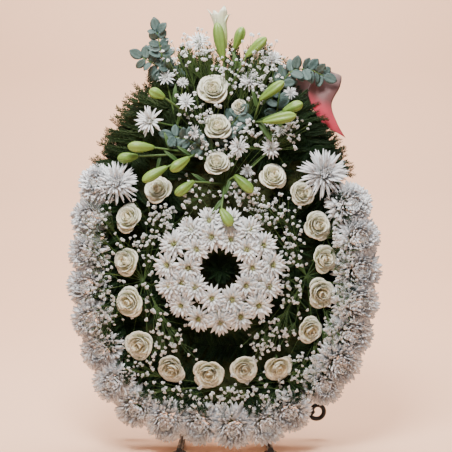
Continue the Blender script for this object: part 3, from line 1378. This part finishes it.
@dataclass
class Sprays:
    """The two branching stems of smaller chrysanthemums in the top spray."""

    finishes: Materials
    stems: dict[str, tuple] = field(default_factory=lambda: {
        "left": ((-104, -36, 700), (
            (-128, -50, 804, 22), (-90, -74, 790, 13), (-84, -84, 748, 21), (-160, -80, 708, 34),
            (-66, -70, 684, 17), (-58, -46, 880, 26))),
        "right": ((100, -34, 650), (
            (52, -60, 794, 25), (140, -70, 768, 16), (30, -82, 652, 23), (98, -70, 650, 24),
            (48, -62, 602, 16), (118, -66, 688, 15), (104, -56, 842, 22))),
    })
    seed: int = 35

    def build(self) -> None:
        """Grows the heads and sets them on their stems."""
        draw = random.Random(self.seed)
        heads = helpers("spray_heads", SPRAY_HEAD.variants(5, self.finishes.daisy))
        discs = helpers("spray_discs", DISC.variants(5, self.finishes.disc))
        for name, (fork, places) in self.stems.items():
            fork = mm(*fork)
            lines = [into_base(fork, 0.0032)]
            spots, middles = [], []
            for x, y, z, size in places:
                centre = mm(x, y, z)
                away = (centre - fork).normalized()
                look = Vector((away.x * 0.45, -1, away.z * 0.45))
                turn = look_along(look, draw.uniform(0, 6))
                pick, tone = draw.randrange(5), draw.random()
                spots.append(Spot(centre, turn, (size * MM * 1.04,) * 3, pick, tone))
                middles.append(Spot(centre, turn, (size * MM * 1.0,) * 3, pick, tone))
                lines.append(bent_stem(fork, centre, 0.0026, 0.0018, Vector((0, 0.006, 0))))
            piece = join(f"spray_mums_{name}", [
                set_copies(name, spots, heads, self.finishes.daisy), set_copies(name + "_discs", middles, discs, self.finishes.disc),
                set_stems(name + "_stems", lines, self.finishes.stem),
            ])
            present(piece, Slot.DAISY, f"spray_chrysanthemum_{name}")


@dataclass
class Eucalyptus:
    """The eucalyptus sprigs: round waxy leaves in pairs on a thin reddish stem."""

    finishes: Materials
    sprigs: dict[str, tuple] = field(default_factory=lambda: {
        "left": (((-92, -22, 786), (-112, -38, 812), (-132, -58, 838), (-140, -66, 872), (-146, -68, 900)), 5),
        "right": (((112, -22, 716), (113, -46, 735), (122, -54, 788), (146, -56, 818), (180, -56, 820), (212, -50, 808)), 6),
        "centre": (((-34, -22, 642), (-52, -58, 655), (-80, -66, 668), (-112, -66, 676)), 3),
    })
    side_sprigs: dict[str, tuple] = field(default_factory=lambda: {
        "left": (((-112, -38, 812), (-140, -52, 826), (-178, -58, 846)), 3),
        "centre": (((-34, -30, 642), (4, -52, 690), (30, -56, 722)), 3),
    })
    leaf_length: float = 0.032
    seed: int = 36

    def build(self) -> None:
        """Sets the leaves along each sprig's stem."""
        draw = random.Random(self.seed)
        oval = (0.25, 0.72, 0.95, 1.0, 0.92, 0.66, 0.12)
        leaves = helpers("eucalyptus_leaves", [
            Blade(1.0, 0.70, 0.05, oval, 0.35, 0.30, 5, 0.06).make("leaf"), Blade(1.0, 0.62, 0.05, oval, -0.30, 0.35, 5, 0.06).make("leaf"),
            Blade(1.0, 0.76, 0.05, oval, 0.10, 0.22, 5, 0.10).make("leaf")])
        for name, sprig in self.sprigs.items():
            lines, spots = [into_base(mm(*sprig[0][0]) + FRONT * 0.004, 0.0022)], []
            for points, nodes in filter(None, (sprig, self.side_sprigs.get(name))):
                path = smooth_path([mm(*point) for point in points], 6)
                lines.append(tapered(path, 0.0022, 0.0012))
                for i in range(nodes * 2):
                    share = (i + 0.9) / (nodes * 2)
                    k = min(int(share * (len(path) - 1)), len(path) - 2)
                    along = (path[k + 1] - path[k]).normalized()
                    for sense in (1, -1):
                        across = along.cross(FRONT).normalized() * sense
                        out = (across + along * draw.uniform(0.2, 0.8) + FRONT * draw.uniform(-0.4, 0.7)).normalized()
                        size = self.leaf_length * draw.uniform(0.70, 1.10)
                        upper = FRONT + along * draw.uniform(-0.7, 0.7) + across * draw.uniform(-0.5, 0.5)
                        spots.append(Spot(path[k], grow_along(out, upper), (size,) * 3, draw.randrange(3), draw.random()))
                end = (path[-1] - path[-2]).normalized()
                spots.append(Spot(path[-1], grow_along(end, FRONT), (self.leaf_length,) * 3, 0, draw.random()))
            piece = join(f"eucalyptus_sprig_{name}", [
                set_copies(name, spots, leaves, self.finishes.eucalyptus), set_stems(name + "_stem", lines, self.finishes.stem, 6)])
            present(piece, Slot.EUCALYPTUS, f"eucalyptus_{name}")


@dataclass
class Gypsophila:
    """The clouds of gypsophila: many small white flowers on hair-thin branches."""

    finishes: Materials
    roots: dict[str, tuple] = field(default_factory=lambda: {
        "left": (-176, 366), "right": (176, 376), "bottom": (10, 135), "top": (-6, 560)})
    # Middles of the clusters of flowers, as x and z in millimetres.
    clusters: tuple[tuple[int, int], ...] = (
        (-132, 524), (-117, 502), (-143, 493), (-103, 480), (-150, 512), (-257, 508), (-275, 471), (-282, 431), (-268, 387),
        (-279, 343), (-257, 295), (-266, 255), (-235, 321), (-227, 442), (-198, 450), (-165, 453), (-169, 405), (-154, 354),
        (-187, 321), (-143, 299), (-121, 255), (-99, 222), (-132, 222), (-165, 211), (-209, 200), (-187, 167), (-154, 134),
        (-176, 112), (-121, 134), (-88, 119), (-55, 101), (-22, 112), (15, 101), (44, 134), (81, 112), (110, 106),
        (143, 134), (176, 156), (198, 189), (220, 222), (165, 189), (132, 167), (66, 163), (22, 128), (143, 486), (132, 453),
        (143, 409), (132, 365), (143, 321), (121, 277), (99, 244), (143, 244), (81, 222), (66, 244), (231, 486), (242, 442),
        (253, 398), (264, 354), (253, 321), (231, 277), (242, 244), (220, 321), (165, 343), (99, 530), (81, 515), (44, 541),
        (22, 541), (66, 515), (121, 519), (-66, 876), (-88, 862), (-44, 860), (-104, 848), (-36, 876), (-22, 852), (11, 816), (0, 794), (44, 816), (77, 838),
        (88, 816), (110, 805), (62, 862), (84, 846), (66, 772), (-55, 739), (-44, 717), (-66, 706), (-33, 673), (-55, 651), (0, 640), (11, 662),
        (44, 706), (55, 684), (132, 706), (143, 684), (121, 673), (77, 673), (-77, 563), (-66, 541), (33, 563), (55, 563),
    )
    flowers: int = 16
    radius: float = 0.0043
    spread: float = 0.019
    seed: int = 37

    def build(self) -> None:
        """Sets the clusters on the stem nearest to each."""
        draw = random.Random(self.seed)
        shapes = helpers("gypsophila_flowers", GYPSO_HEAD.variants(4, self.finishes.gypsophila))
        taken = [(mm(x, 0, z), width * MM / 2) for x, z, width in Roses(self.finishes).places]
        groups: dict[str, list[Vector]] = {name: [] for name in self.roots}
        for x, z in self.clusters:
            name = "top" if z > 540 else "bottom" if z < 205 and abs(x) < 190 else "left" if x < 0 else "right"
            rim = abs(x) > 240
            groups[name].append(mm(x, draw.uniform(-102, -94) if rim else draw.uniform(-84, -66), z))
        for name, (x, z) in self.roots.items():
            fork = mm(x, 0, z) + Vector((0, BASE_FRONT - 0.024, 0))
            lines = [into_base(fork, 0.0021)]
            spots = []
            for middle in groups[name]:
                joint = middle.lerp(fork, 0.25) + Vector((0, 0.014, 0))
                lines.append(tapered(smooth_path([fork, fork.lerp(joint, 0.5) + Vector((0, 0.006, 0)), joint], 4), 0.0011, 0.0006))
                for _ in range(self.flowers):
                    tip = middle + Vector((draw.gauss(0, 1), draw.gauss(0, 0.6), draw.gauss(0, 1))) * self.spread
                    tip.y = min(max(tip.y, middle.y - 0.010), -0.052)
                    if any((Vector((tip.x, 0, tip.z)) - centre).length < radius + 0.002 for centre, radius in taken):
                        continue
                    size = self.radius * draw.uniform(0.72, 1.12)
                    axis = (tip - joint).normalized()
                    spots.append(Spot(tip, look_along(axis * 0.6 + FRONT, draw.uniform(0, 6)), (size,) * 3, draw.randrange(4), draw.random()))
                    lines.append(tapered([joint, joint.lerp(tip, 0.55) + Vector((0, 0.003, 0)), tip], 0.0005, 0.0004))
            piece = join(f"gypsophila_cloud_{name}", [
                set_copies(name, spots, shapes, self.finishes.gypsophila), set_stems(name + "_wires", lines, self.finishes.stem, 3)])
            present(piece, Slot.GYPSOPHILA, f"gypsophila_{name}")


@dataclass
class Conifer:
    """The conifer branches that fill the field and make the feathery edge."""

    finishes: Materials
    branches: dict[str, tuple] = field(default_factory=lambda: {
        "edge_right": (0.79, 4, 62, 0.068, 0.044), "edge_left": (0.79, 356, 298, 0.082, 0.044),
        "crown": (0.64, -46, 46, 0.056, 0.028), "brow": (0.54, -48, 48, 0.036, 0.048),
        "outer_right": (0.72, 64, 174, 0.052, 0.050), "outer_left": (0.72, 296, 186, 0.052, 0.050),
        "inner_right": (0.47, 52, 160, 0.050, 0.050), "inner_left": (0.47, 308, 200, 0.050, 0.050),
        "bottom": (0.50, 166, 194, 0.044, 0.044),
    })
    depth: float = -0.030
    step: float = 0.0032
    crown_fill: int = 210
    seed: int = 38

    def twigs(self) -> bpy.types.Collection:
        """Grows a few feathery twigs, one unit long along +X."""
        needle = helpers("needle", [Blade(0.23, 0.075, 0.03, (0.0, 1.0, 0.0), -0.25, 0.0).make("needle")])
        draw = random.Random(self.seed)
        made = []
        for k in range(6):
            bow = draw.uniform(-0.12, 0.12)
            points = [Vector((t, bow * math.sin(math.pi * t), -0.10 * t * t)) for t in np.linspace(0, 1, 6)]
            guide = curve_guide("twig", [tapered(points, 1.0, 0.3)], Matrix.Identity(4))
            made.append(FROND.run(f"twig_{k}", guide, {
                "Needle": needle, "Step": 0.026, "Spread": 0.70, "Taper": 0.55, "Flat": 1.0,
                "Stem": 0.014, "Seed": 60 + k, "Material": self.finishes.conifer}))
        return helpers("twigs", made)

    def branch(self, name: str, share: float, start: float, end: float, outer: float, inner: float,
               draw: random.Random) -> tuple[list[Spot], list[Line]]:
        """Lays out one branch: its rib and its side twigs."""
        marks = np.linspace(math.radians(start), math.radians(end), 90)
        rib = [egg(mark, share, self.depth) for mark in marks]
        walk = np.concatenate(([0.0], np.cumsum([(b - a).length for a, b in zip(rib, rib[1:])])))
        spots = []
        for place in np.arange(0.0, walk[-1], self.step * (0.72 if name.startswith("edge") else 1.0)):
            k = min(int(np.searchsorted(walk, place, side="right")) - 1, len(rib) - 2)
            point = rib[k].lerp(rib[k + 1], (place - walk[k]) / (walk[k + 1] - walk[k]))
            along = (rib[k + 1] - rib[k]).normalized()
            outward = Vector((point.x, 0, point.z - CENTRE_Z)).normalized()
            for sense in (1, -1):
                across = along.cross(FRONT).normalized() * sense
                reach = outer if across.dot(outward) > 0 else inner
                veil = name.startswith("outer") and across.dot(outward) > 0 and draw.random() < 0.6
                forward = draw.uniform(-1.35, -0.9) if veil else draw.uniform(-0.5, 0.12)
                swing = Vector((0, forward, 0)) + along * draw.uniform(-0.3, 0.3)
                way = (across + along * 0.5).normalized() + swing
                length = reach * (draw.uniform(1.1, 1.5) if veil else draw.uniform(0.55, 1.06))
                upper = FRONT + Vector((draw.uniform(-1, 1), 0, draw.uniform(-1, 1))) * 0.5
                root = point + Vector((0, draw.uniform(-0.006, 0.004), 0))
                spots.append(Spot(root, grow_along(way, upper), (length, length * 0.8, length * 0.8), draw.randrange(6), draw.random()))
        if name in ("edge_left", "edge_right", "crown"):
            spots += self.fill(rib, draw)
        return spots, [tapered(rib[::3] + [rib[-1]], 0.0022, 0.0012), into_base(rib[0], 0.0024)]

    def fill(self, rib: list[Vector], draw: random.Random) -> list[Spot]:
        """Bushy twigs behind the others that fan straight out, longest near the wreath's top.

        Args:
            rib: the branch's points, starting nearest to the top.
            draw: what makes them differ.

        Returns:
            The twigs.
        """
        spots = []
        for k in range(self.crown_fill):
            share = k / self.crown_fill
            point = rib[int(share * len(rib))] + Vector((0, draw.uniform(0.0, 0.014), 0))
            outward = Vector((point.x, 0, point.z - CENTRE_Z)).normalized()
            way = outward + Vector((draw.uniform(-0.45, 0.45), draw.uniform(-0.20, 0.06), draw.uniform(-0.2, 0.2)))
            middle = max(0.0, 1.0 - abs(point.x) / 0.11)
            trim = 0.74 if point.x > 0.11 else 0.90 if point.x < -0.11 else 1.0
            length = (0.112 - 0.020 * share + 0.012 * middle) * trim * draw.uniform(0.55, 1.0)
            upper = FRONT + Vector((draw.uniform(-1, 1), 0, draw.uniform(-1, 1))) * 0.4
            spots.append(Spot(point, grow_along(way, upper), (length, length * 0.85, length * 0.85), draw.randrange(6), draw.random()))
        return spots

    def build(self) -> None:
        """Sets the twigs along each branch and in the middle of the daisy ring."""
        draw = random.Random(self.seed)
        twigs = self.twigs()
        for name, row in self.branches.items():
            spots, lines = self.branch(name, *row, draw)
            if name == "crown":
                spur = [egg(0.0, row[0], self.depth), egg(-0.05, 0.82, self.depth)]
                lines.append(tapered(spur, 0.0020, 0.0014))
                for k in range(80):
                    way = Vector((draw.uniform(-0.55, 0.45), draw.uniform(-0.25, 0.05), 1.0))
                    length = 0.090 * draw.uniform(0.6, 1.0)
                    spots.append(Spot(spur[0].lerp(spur[1], k / 80), grow_along(way, FRONT), (length, length * 0.85, length * 0.85),
                                      draw.randrange(6), draw.random()))
            self.finish(name, spots, lines, twigs)
        entry = Vector((RING_X, BASE_FRONT, RING_Z))
        spots = []
        for k in range(110):
            angle = k * GOLDEN_TURN
            way = Vector((math.sin(angle), draw.uniform(-1.0, -0.2), math.cos(angle)))
            length = 0.036 * draw.uniform(0.7, 1.1)
            spots.append(Spot(entry + FRONT * (0.006 + 0.022 * draw.random()), grow_along(way, FRONT), (length, length, length),
                              draw.randrange(6), draw.random()))
        self.finish("centre", spots, [tapered([entry - FRONT * STEM_DEPTH, entry + FRONT * 0.03], 0.003, 0.002)], twigs)

    def finish(self, name: str, spots: list[Spot], lines: list[Line], twigs: bpy.types.Collection) -> None:
        """Makes one branch from its laid-out twigs."""
        piece = join(f"fern_{name}", [
            set_copies(name, spots, twigs, self.finishes.conifer), set_stems(name + "_rib", lines, self.finishes.conifer, 6)])
        present(piece, Slot.CONIFER, f"conifer_{name}")


# Base, ribbon and stand


@dataclass
class Base:
    """The moss-wrapped straw base with its binding wire, and the board behind it."""

    finishes: Materials
    sides: int = 120
    seed: int = 39

    def plate(self, name: str, front: float, back: float, share: float, round_by: float, lumps: float,
              material: bpy.types.Material) -> bpy.types.Object:
        """An egg-shaped slab with softened edges.

        Args:
            name: the object's name.
            front: its front face's depth.
            back: its back face's depth.
            share: its size as a share of the egg's.
            round_by: how far its edges are rounded.
            lumps: how far its skin wanders in and out.
            material: its material.

        Returns:
            The slab.
        """
        wander = random.Random(self.seed)
        phases = [(wander.uniform(0, math.tau), wander.randrange(5, 23)) for _ in range(6)]
        shape = bmesh.new()
        rows = []
        steps = 5
        profile = [(front + round_by * (1 - math.cos(k / steps * math.pi / 2)), -round_by * (1 - math.sin(k / steps * math.pi / 2)))
                   for k in range(steps + 1)]
        profile += [(back - (depth - front), inset) for depth, inset in reversed(profile)]
        for depth, inset in profile:
            row = []
            for i in range(self.sides):
                angle = math.tau * i / self.sides
                lump = sum(math.sin(angle * count + phase + depth * 90) for phase, count in phases) / 6 * lumps
                point = egg(angle, share, depth)
                out = Vector((point.x, 0, point.z - CENTRE_Z)).normalized()
                row.append(shape.verts.new(PLACE @ (point + out * (inset + lump))))
            rows.append(row)
        for low, high in zip(rows, rows[1:]):
            for i in range(self.sides):
                j = (i + 1) % self.sides
                shape.faces.new((low[i], low[j], high[j], high[i]))
        shape.faces.new(reversed(rows[0]))
        shape.faces.new(rows[-1])
        bmesh.ops.recalc_face_normals(shape, faces=shape.faces)
        mesh = bpy.data.meshes.new(name)
        shape.to_mesh(mesh)
        shape.free()
        mesh.shade_smooth()
        mesh.set_sharp_from_angle(angle=math.radians(50))
        mesh.materials.append(material)
        return bpy.data.objects.new(name, mesh)

    def build(self) -> None:
        """Makes the base with its moss and binding, and the board."""
        draw = random.Random(self.seed)
        pad = self.plate("pad", BASE_FRONT, BASE_BACK, BASE_SHARE, 0.010, 0.004, self.finishes.moss)
        strand = helpers("moss_strands", [
            Blade(0.016, 0.0016, 0.0008, (0.8, 1.0, 0.7, 0.1), 1.2).make("strand"),
            Blade(0.013, 0.0018, 0.0008, (0.8, 1.0, 0.7, 0.1), -1.0).make("strand")])
        tufts = []
        for k in range(2600):
            angle = draw.uniform(0, math.tau)
            depth = draw.uniform(BASE_FRONT + 0.004, BASE_BACK - 0.003)
            point = egg(angle, BASE_SHARE, depth)
            out = Vector((point.x, 0, point.z - CENTRE_Z)).normalized()
            side = Vector((draw.uniform(-1, 1), draw.uniform(-1, 1), draw.uniform(-1, 1)))
            tufts.append(Spot(point - out * 0.006, grow_along(out * 0.7 + side, side.cross(out)), (1, 1, 1), k % 2, draw.random()))
        for k in range(1800):
            point = egg(draw.uniform(0, math.tau), BASE_SHARE * math.sqrt(draw.random()), BASE_FRONT + 0.001)
            side = Vector((draw.uniform(-1, 1), -0.35, draw.uniform(-1, 1)))
            tufts.append(Spot(point, grow_along(side, FRONT + Vector((0.1, 0, 0.1))), (1.4, 1.6, 1.6), k % 2, draw.random()))
        bindings = []
        for k in range(34):
            angle = math.tau * k / 34
            path = []
            for depth, inset in ((BASE_FRONT - 0.0006, 0.05), (BASE_FRONT - 0.0006, 0.010), (BASE_FRONT + 0.010, -0.0006),
                                 (BASE_BACK - 0.010, -0.0006), (BASE_BACK - 0.0012, 0.010)):
                point = egg(angle, BASE_SHARE, depth)
                out = Vector((point.x, 0, point.z - CENTRE_Z)).normalized()
                path.append(point - out * inset)
            bindings.append(tapered(path, 0.0008, 0.0008))
        piece = join("moss_pad", [pad, set_copies("tufts", tufts, strand, self.finishes.moss),
                                  set_stems("binding", bindings, self.finishes.iron, 5)])
        present(piece, Slot.MOSS, "straw_base")
        front = BASE_BACK + 0.0004
        board = self.plate("board", front, front + BOARD_THICK, BASE_SHARE * 0.97, 0.0012, 0.0, self.finishes.board)
        screws = []
        for k in range(8):
            point = egg(math.tau * (k + 0.5) / 8, BASE_SHARE * 0.86, front + BOARD_THICK)
            screws.append(Line([point, point + Vector((0, 0.0014, 0)), point + Vector((0, 0.0018, 0))], [0.0042, 0.0036, 0.0018]))
        present(join("wooden_board", [board, set_stems("screws", screws, self.finishes.iron, 14)]), Slot.BOARD, "backing_board")


@dataclass
class Ribbon:
    """The plain mourning ribbon behind the upper right greenery."""

    finishes: Materials
    width: float = 0.060
    thick: float = 0.0008

    def build(self) -> None:
        """Makes the ribbon as one folded sheet."""
        back = BASE_BACK + 0.0008 + BOARD_THICK + 0.00125
        line = ((0.124, back, 0.716), (0.152, back, 0.756), (0.200, 0.014, 0.812), (0.226, -0.008, 0.828),
                (0.224, -0.030, 0.802), (0.205, -0.040, 0.762), (0.218, -0.038, 0.720), (0.236, -0.032, 0.690))
        path = smooth_path([Vector(point) for point in line], 10)
        across = Vector((0.86, 0.0, -0.5)).normalized()
        half = self.width / 2
        columns = 17
        grid = np.zeros((len(path), columns, 3))
        for i, place in enumerate(path):
            along = (path[min(i + 1, len(path) - 1)] - path[max(i - 1, 0)]).normalized()
            normal = along.cross(across).normalized()
            for j, u in enumerate(np.linspace(-1, 1, columns)):
                fold = 0.0016 * math.sin(u * 4.2 + i * 0.12)
                grid[i, j] = PLACE @ (place + across * (u * half) + normal * fold)
        piece = join("satin_ribbon", [skin("satin_ribbon", grid, self.thick)])
        piece.data.materials.append(self.finishes.ribbon)
        present(piece, Slot.RIBBON, "mourning_ribbon")


@dataclass
class Stand:
    """The wrought iron stand: two front legs, two bars across, one of them scrolled, and a rear leg."""

    finishes: Materials
    leg_radius: float = 0.007
    bar_radius: float = 0.005
    toe_reach: float = 0.100
    spread: float = 0.270
    pad_radius: float = 0.015
    pad_thick: float = 0.004

    def leaned(self, x: float, y: float, z: float) -> Vector:
        """Where a point of the upright wreath stands, from the point on the ground below the lean's axis."""
        return Matrix.Rotation(-LEAN, 3, "X") @ Vector((x, y, z))

    def rod(self, name: str, points: Sequence[Vector], radius: float, corner: float = 0.012) -> bpy.types.Object:
        """An iron rod through points, its corners bent round."""
        path = [points[0]]
        for before, here, after in zip(points, points[1:], points[2:]):
            cut = min(corner, (here - before).length * 0.45, (after - here).length * 0.45)
            start = here + (before - here).normalized() * cut
            end = here + (after - here).normalized() * cut
            for k in range(7):
                t = k / 6
                path.append(start * (1 - t) ** 2 + here * (2 * t * (1 - t)) + end * t * t)
        path.append(points[-1])
        return set_stems(name, [Line(path, [radius] * len(path))], self.finishes.iron, 16, Matrix.Translation(GROUND))

    def pad(self, name: str, place: Vector) -> bpy.types.Object:
        """A round foot under a rod's end, its upper edge softened."""
        point = Vector((place.x, place.y, 0))
        rows = ((0.0, 0.94), (0.0006, 1.0), (0.0030, 1.0), (0.0038, 0.94), (0.0040, 0.80))
        line = Line([point + Vector((0, 0, z)) for z, _ in rows], [self.pad_radius * share for _, share in rows])
        return set_stems(name, [line], self.finishes.iron, 32, Matrix.Translation(GROUND))

    def build(self) -> None:
        """Makes the stand's five rods."""
        low = self.pad_thick + self.leg_radius * 0.7
        for side, name in ((-1, "left"), (1, "right")):
            top = self.leaned(side * 0.075, LEG_LINE, 0.700)
            knee = self.leaned(side * 0.092, LEG_LINE, 0.030)
            ankle = Vector((knee.x + side * 0.002, knee.y - 0.010, low))
            toe = Vector((knee.x + side * 0.006, knee.y - self.toe_reach, low))
            piece = join(f"iron_leg_{name}", [self.rod("leg", [top, knee, ankle, toe], self.leg_radius, 0.010),
                                              self.pad("foot", toe + Vector((0, 0.008, 0)))])
            present(piece, Slot.IRON, f"stand_leg_{name}")
        ends = [self.leaned(side * 0.100, BAR_LINE, UPPER_BAR_HEIGHT) for side in (-1, 1)]
        present(join("iron_bar_upper", [self.rod("bar", ends, self.bar_radius)]), Slot.IRON, "stand_upper_bar")
        right = [(0.060, 0.100), (0.130, 0.092), (0.184, 0.084)]
        for i in range(0, 81):
            angle = math.radians(180 - 5 * i)
            radius = 0.020 * (1 - 0.0065 * i)
            right.append((0.206 + radius * math.cos(angle), 0.070 - radius * math.sin(angle)))
        half = smooth_path([Vector((x, 0, z)) for x, z in right[:3]], 6)[:-1] + [Vector((x, 0, z)) for x, z in right[3:]]
        path = [Vector((-p.x, 0, p.z)) for p in reversed(half)] + half
        points = [self.leaned(p.x, BAR_LINE, p.z) for p in path]
        scroll = set_stems("scroll", [Line(points, [self.bar_radius] * len(points))], self.finishes.iron, 14, Matrix.Translation(GROUND))
        present(join("iron_bar_scrolled", [scroll]), Slot.IRON, "stand_lower_bar")
        bar = self.leaned(0, BAR_LINE, UPPER_BAR_HEIGHT)
        foot = Vector((0, bar.y + self.spread, low))
        slope = (bar - foot).normalized()
        top = bar + Vector((1, 0, 0)).cross(slope) * -(self.bar_radius + 0.0004 + self.leg_radius) + slope * 0.008
        end = foot + Vector((0, 0.016, 0))
        piece = join("iron_leg_rear", [self.rod("leg", [top, foot, end], self.leg_radius, 0.008),
                                       self.pad("foot", end - Vector((0, 0.006, 0)))])
        present(piece, Slot.IRON, "stand_rear_leg")


@dataclass
class Studio:
    """The pale floor, the soft lights and the camera."""

    distance: float = 2.6
    lens: float = 94.2

    def floor(self) -> None:
        """Makes the pale floor, which sweeps up behind the wreath."""
        rows = [(-9.0, 0.0), (1.2, 0.0), (1.8, 0.06), (2.3, 0.3), (2.6, 0.8), (2.7, 4.0)]
        shape = bmesh.new()
        strips = [[shape.verts.new((x, y, z)) for x in (-9.0, 9.0)] for y, z in rows]
        for low, high in zip(strips, strips[1:]):
            shape.faces.new((low[0], low[1], high[1], high[0]))
        mesh = bpy.data.meshes.new("floor")
        shape.to_mesh(mesh)
        shape.free()
        mesh.shade_smooth()
        finish = Finish("pale_floor", 0.9)
        cloud = finish.tree.noise(1.5, 3.0)
        finish.put("Base Color", finish.tree.mix(cloud, (0.97, 0.60, 0.40), (0.98, 0.63, 0.43)))
        mesh.materials.append(finish.material)
        floor = bpy.data.objects.new("floor", mesh)
        bpy.context.scene.collection.objects.link(floor)

    def light(self, name: str, place: Vector, aim: Vector, size: float, power: float, colour: Colour) -> None:
        """Adds one soft light."""
        data = bpy.data.lights.new(name, "AREA")
        data.size, data.energy, data.color = size, power, colour
        lamp = bpy.data.objects.new(name, data)
        lamp.location = place
        lamp.rotation_mode = "QUATERNION"
        lamp.rotation_quaternion = (aim - place).to_track_quat("-Z", "Y")
        bpy.context.scene.collection.objects.link(lamp)

    def build(self) -> None:
        """Sets the floor, the lights and the camera."""
        self.floor()
        middle = PLACE @ Vector((0, 0, 0.5))
        self.light("key_light", Vector((-0.3, -1.05, 2.0)), middle + Vector((0, 0, 0.3)), 0.7, 68, (1.0, 0.99, 0.97))
        self.light("fill_light", Vector((2.0, -2.0, 1.5)), middle, 1.8, 8, (0.93, 0.96, 1.0))
        self.light("top_light", Vector((0.3, 0.6, 2.6)), middle, 1.2, 26, (1.0, 1.0, 1.0))
        self.light("backdrop_light", Vector((0.0, 0.9, 3.4)), Vector((0.0, 2.5, 0.8)), 2.4, 200, (1.0, 0.95, 0.90))
        world = bpy.data.worlds.new("studio")
        world.use_nodes = True
        world.node_tree.nodes["Background"].inputs[0].default_value = (0.90, 0.93, 1.0, 1.0)
        world.node_tree.nodes["Background"].inputs[1].default_value = 0.14
        bpy.context.scene.world = world
        data = bpy.data.cameras.new("camera")
        data.lens = self.lens
        data.sensor_width = 36.0
        camera = bpy.data.objects.new("camera", data)
        aim = PLACE @ Vector((0.002, 0, 0.484))
        camera.location = PLACE @ Vector((0.002, -self.distance, 0.484))
        camera.rotation_mode = "QUATERNION"
        camera.rotation_quaternion = (aim - camera.location).to_track_quat("-Z", "Y")
        bpy.context.scene.collection.objects.link(camera)
        bpy.context.scene.camera = camera


def main() -> None:
    """Builds the wreath's pieces in order, then the studio."""
    logging.basicConfig(level=logging.INFO, format="%(message)s", stream=sys.stdout)
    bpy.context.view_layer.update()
    finishes = Materials()
    for part in (Base, Stand, Ribbon, Conifer, Border, Roses, Lilies, Sprays, Eucalyptus, Gypsophila, DaisyRing):
        part(finishes).build()
    Studio().build()
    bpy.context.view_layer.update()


if __name__ == "__main__":
    main()
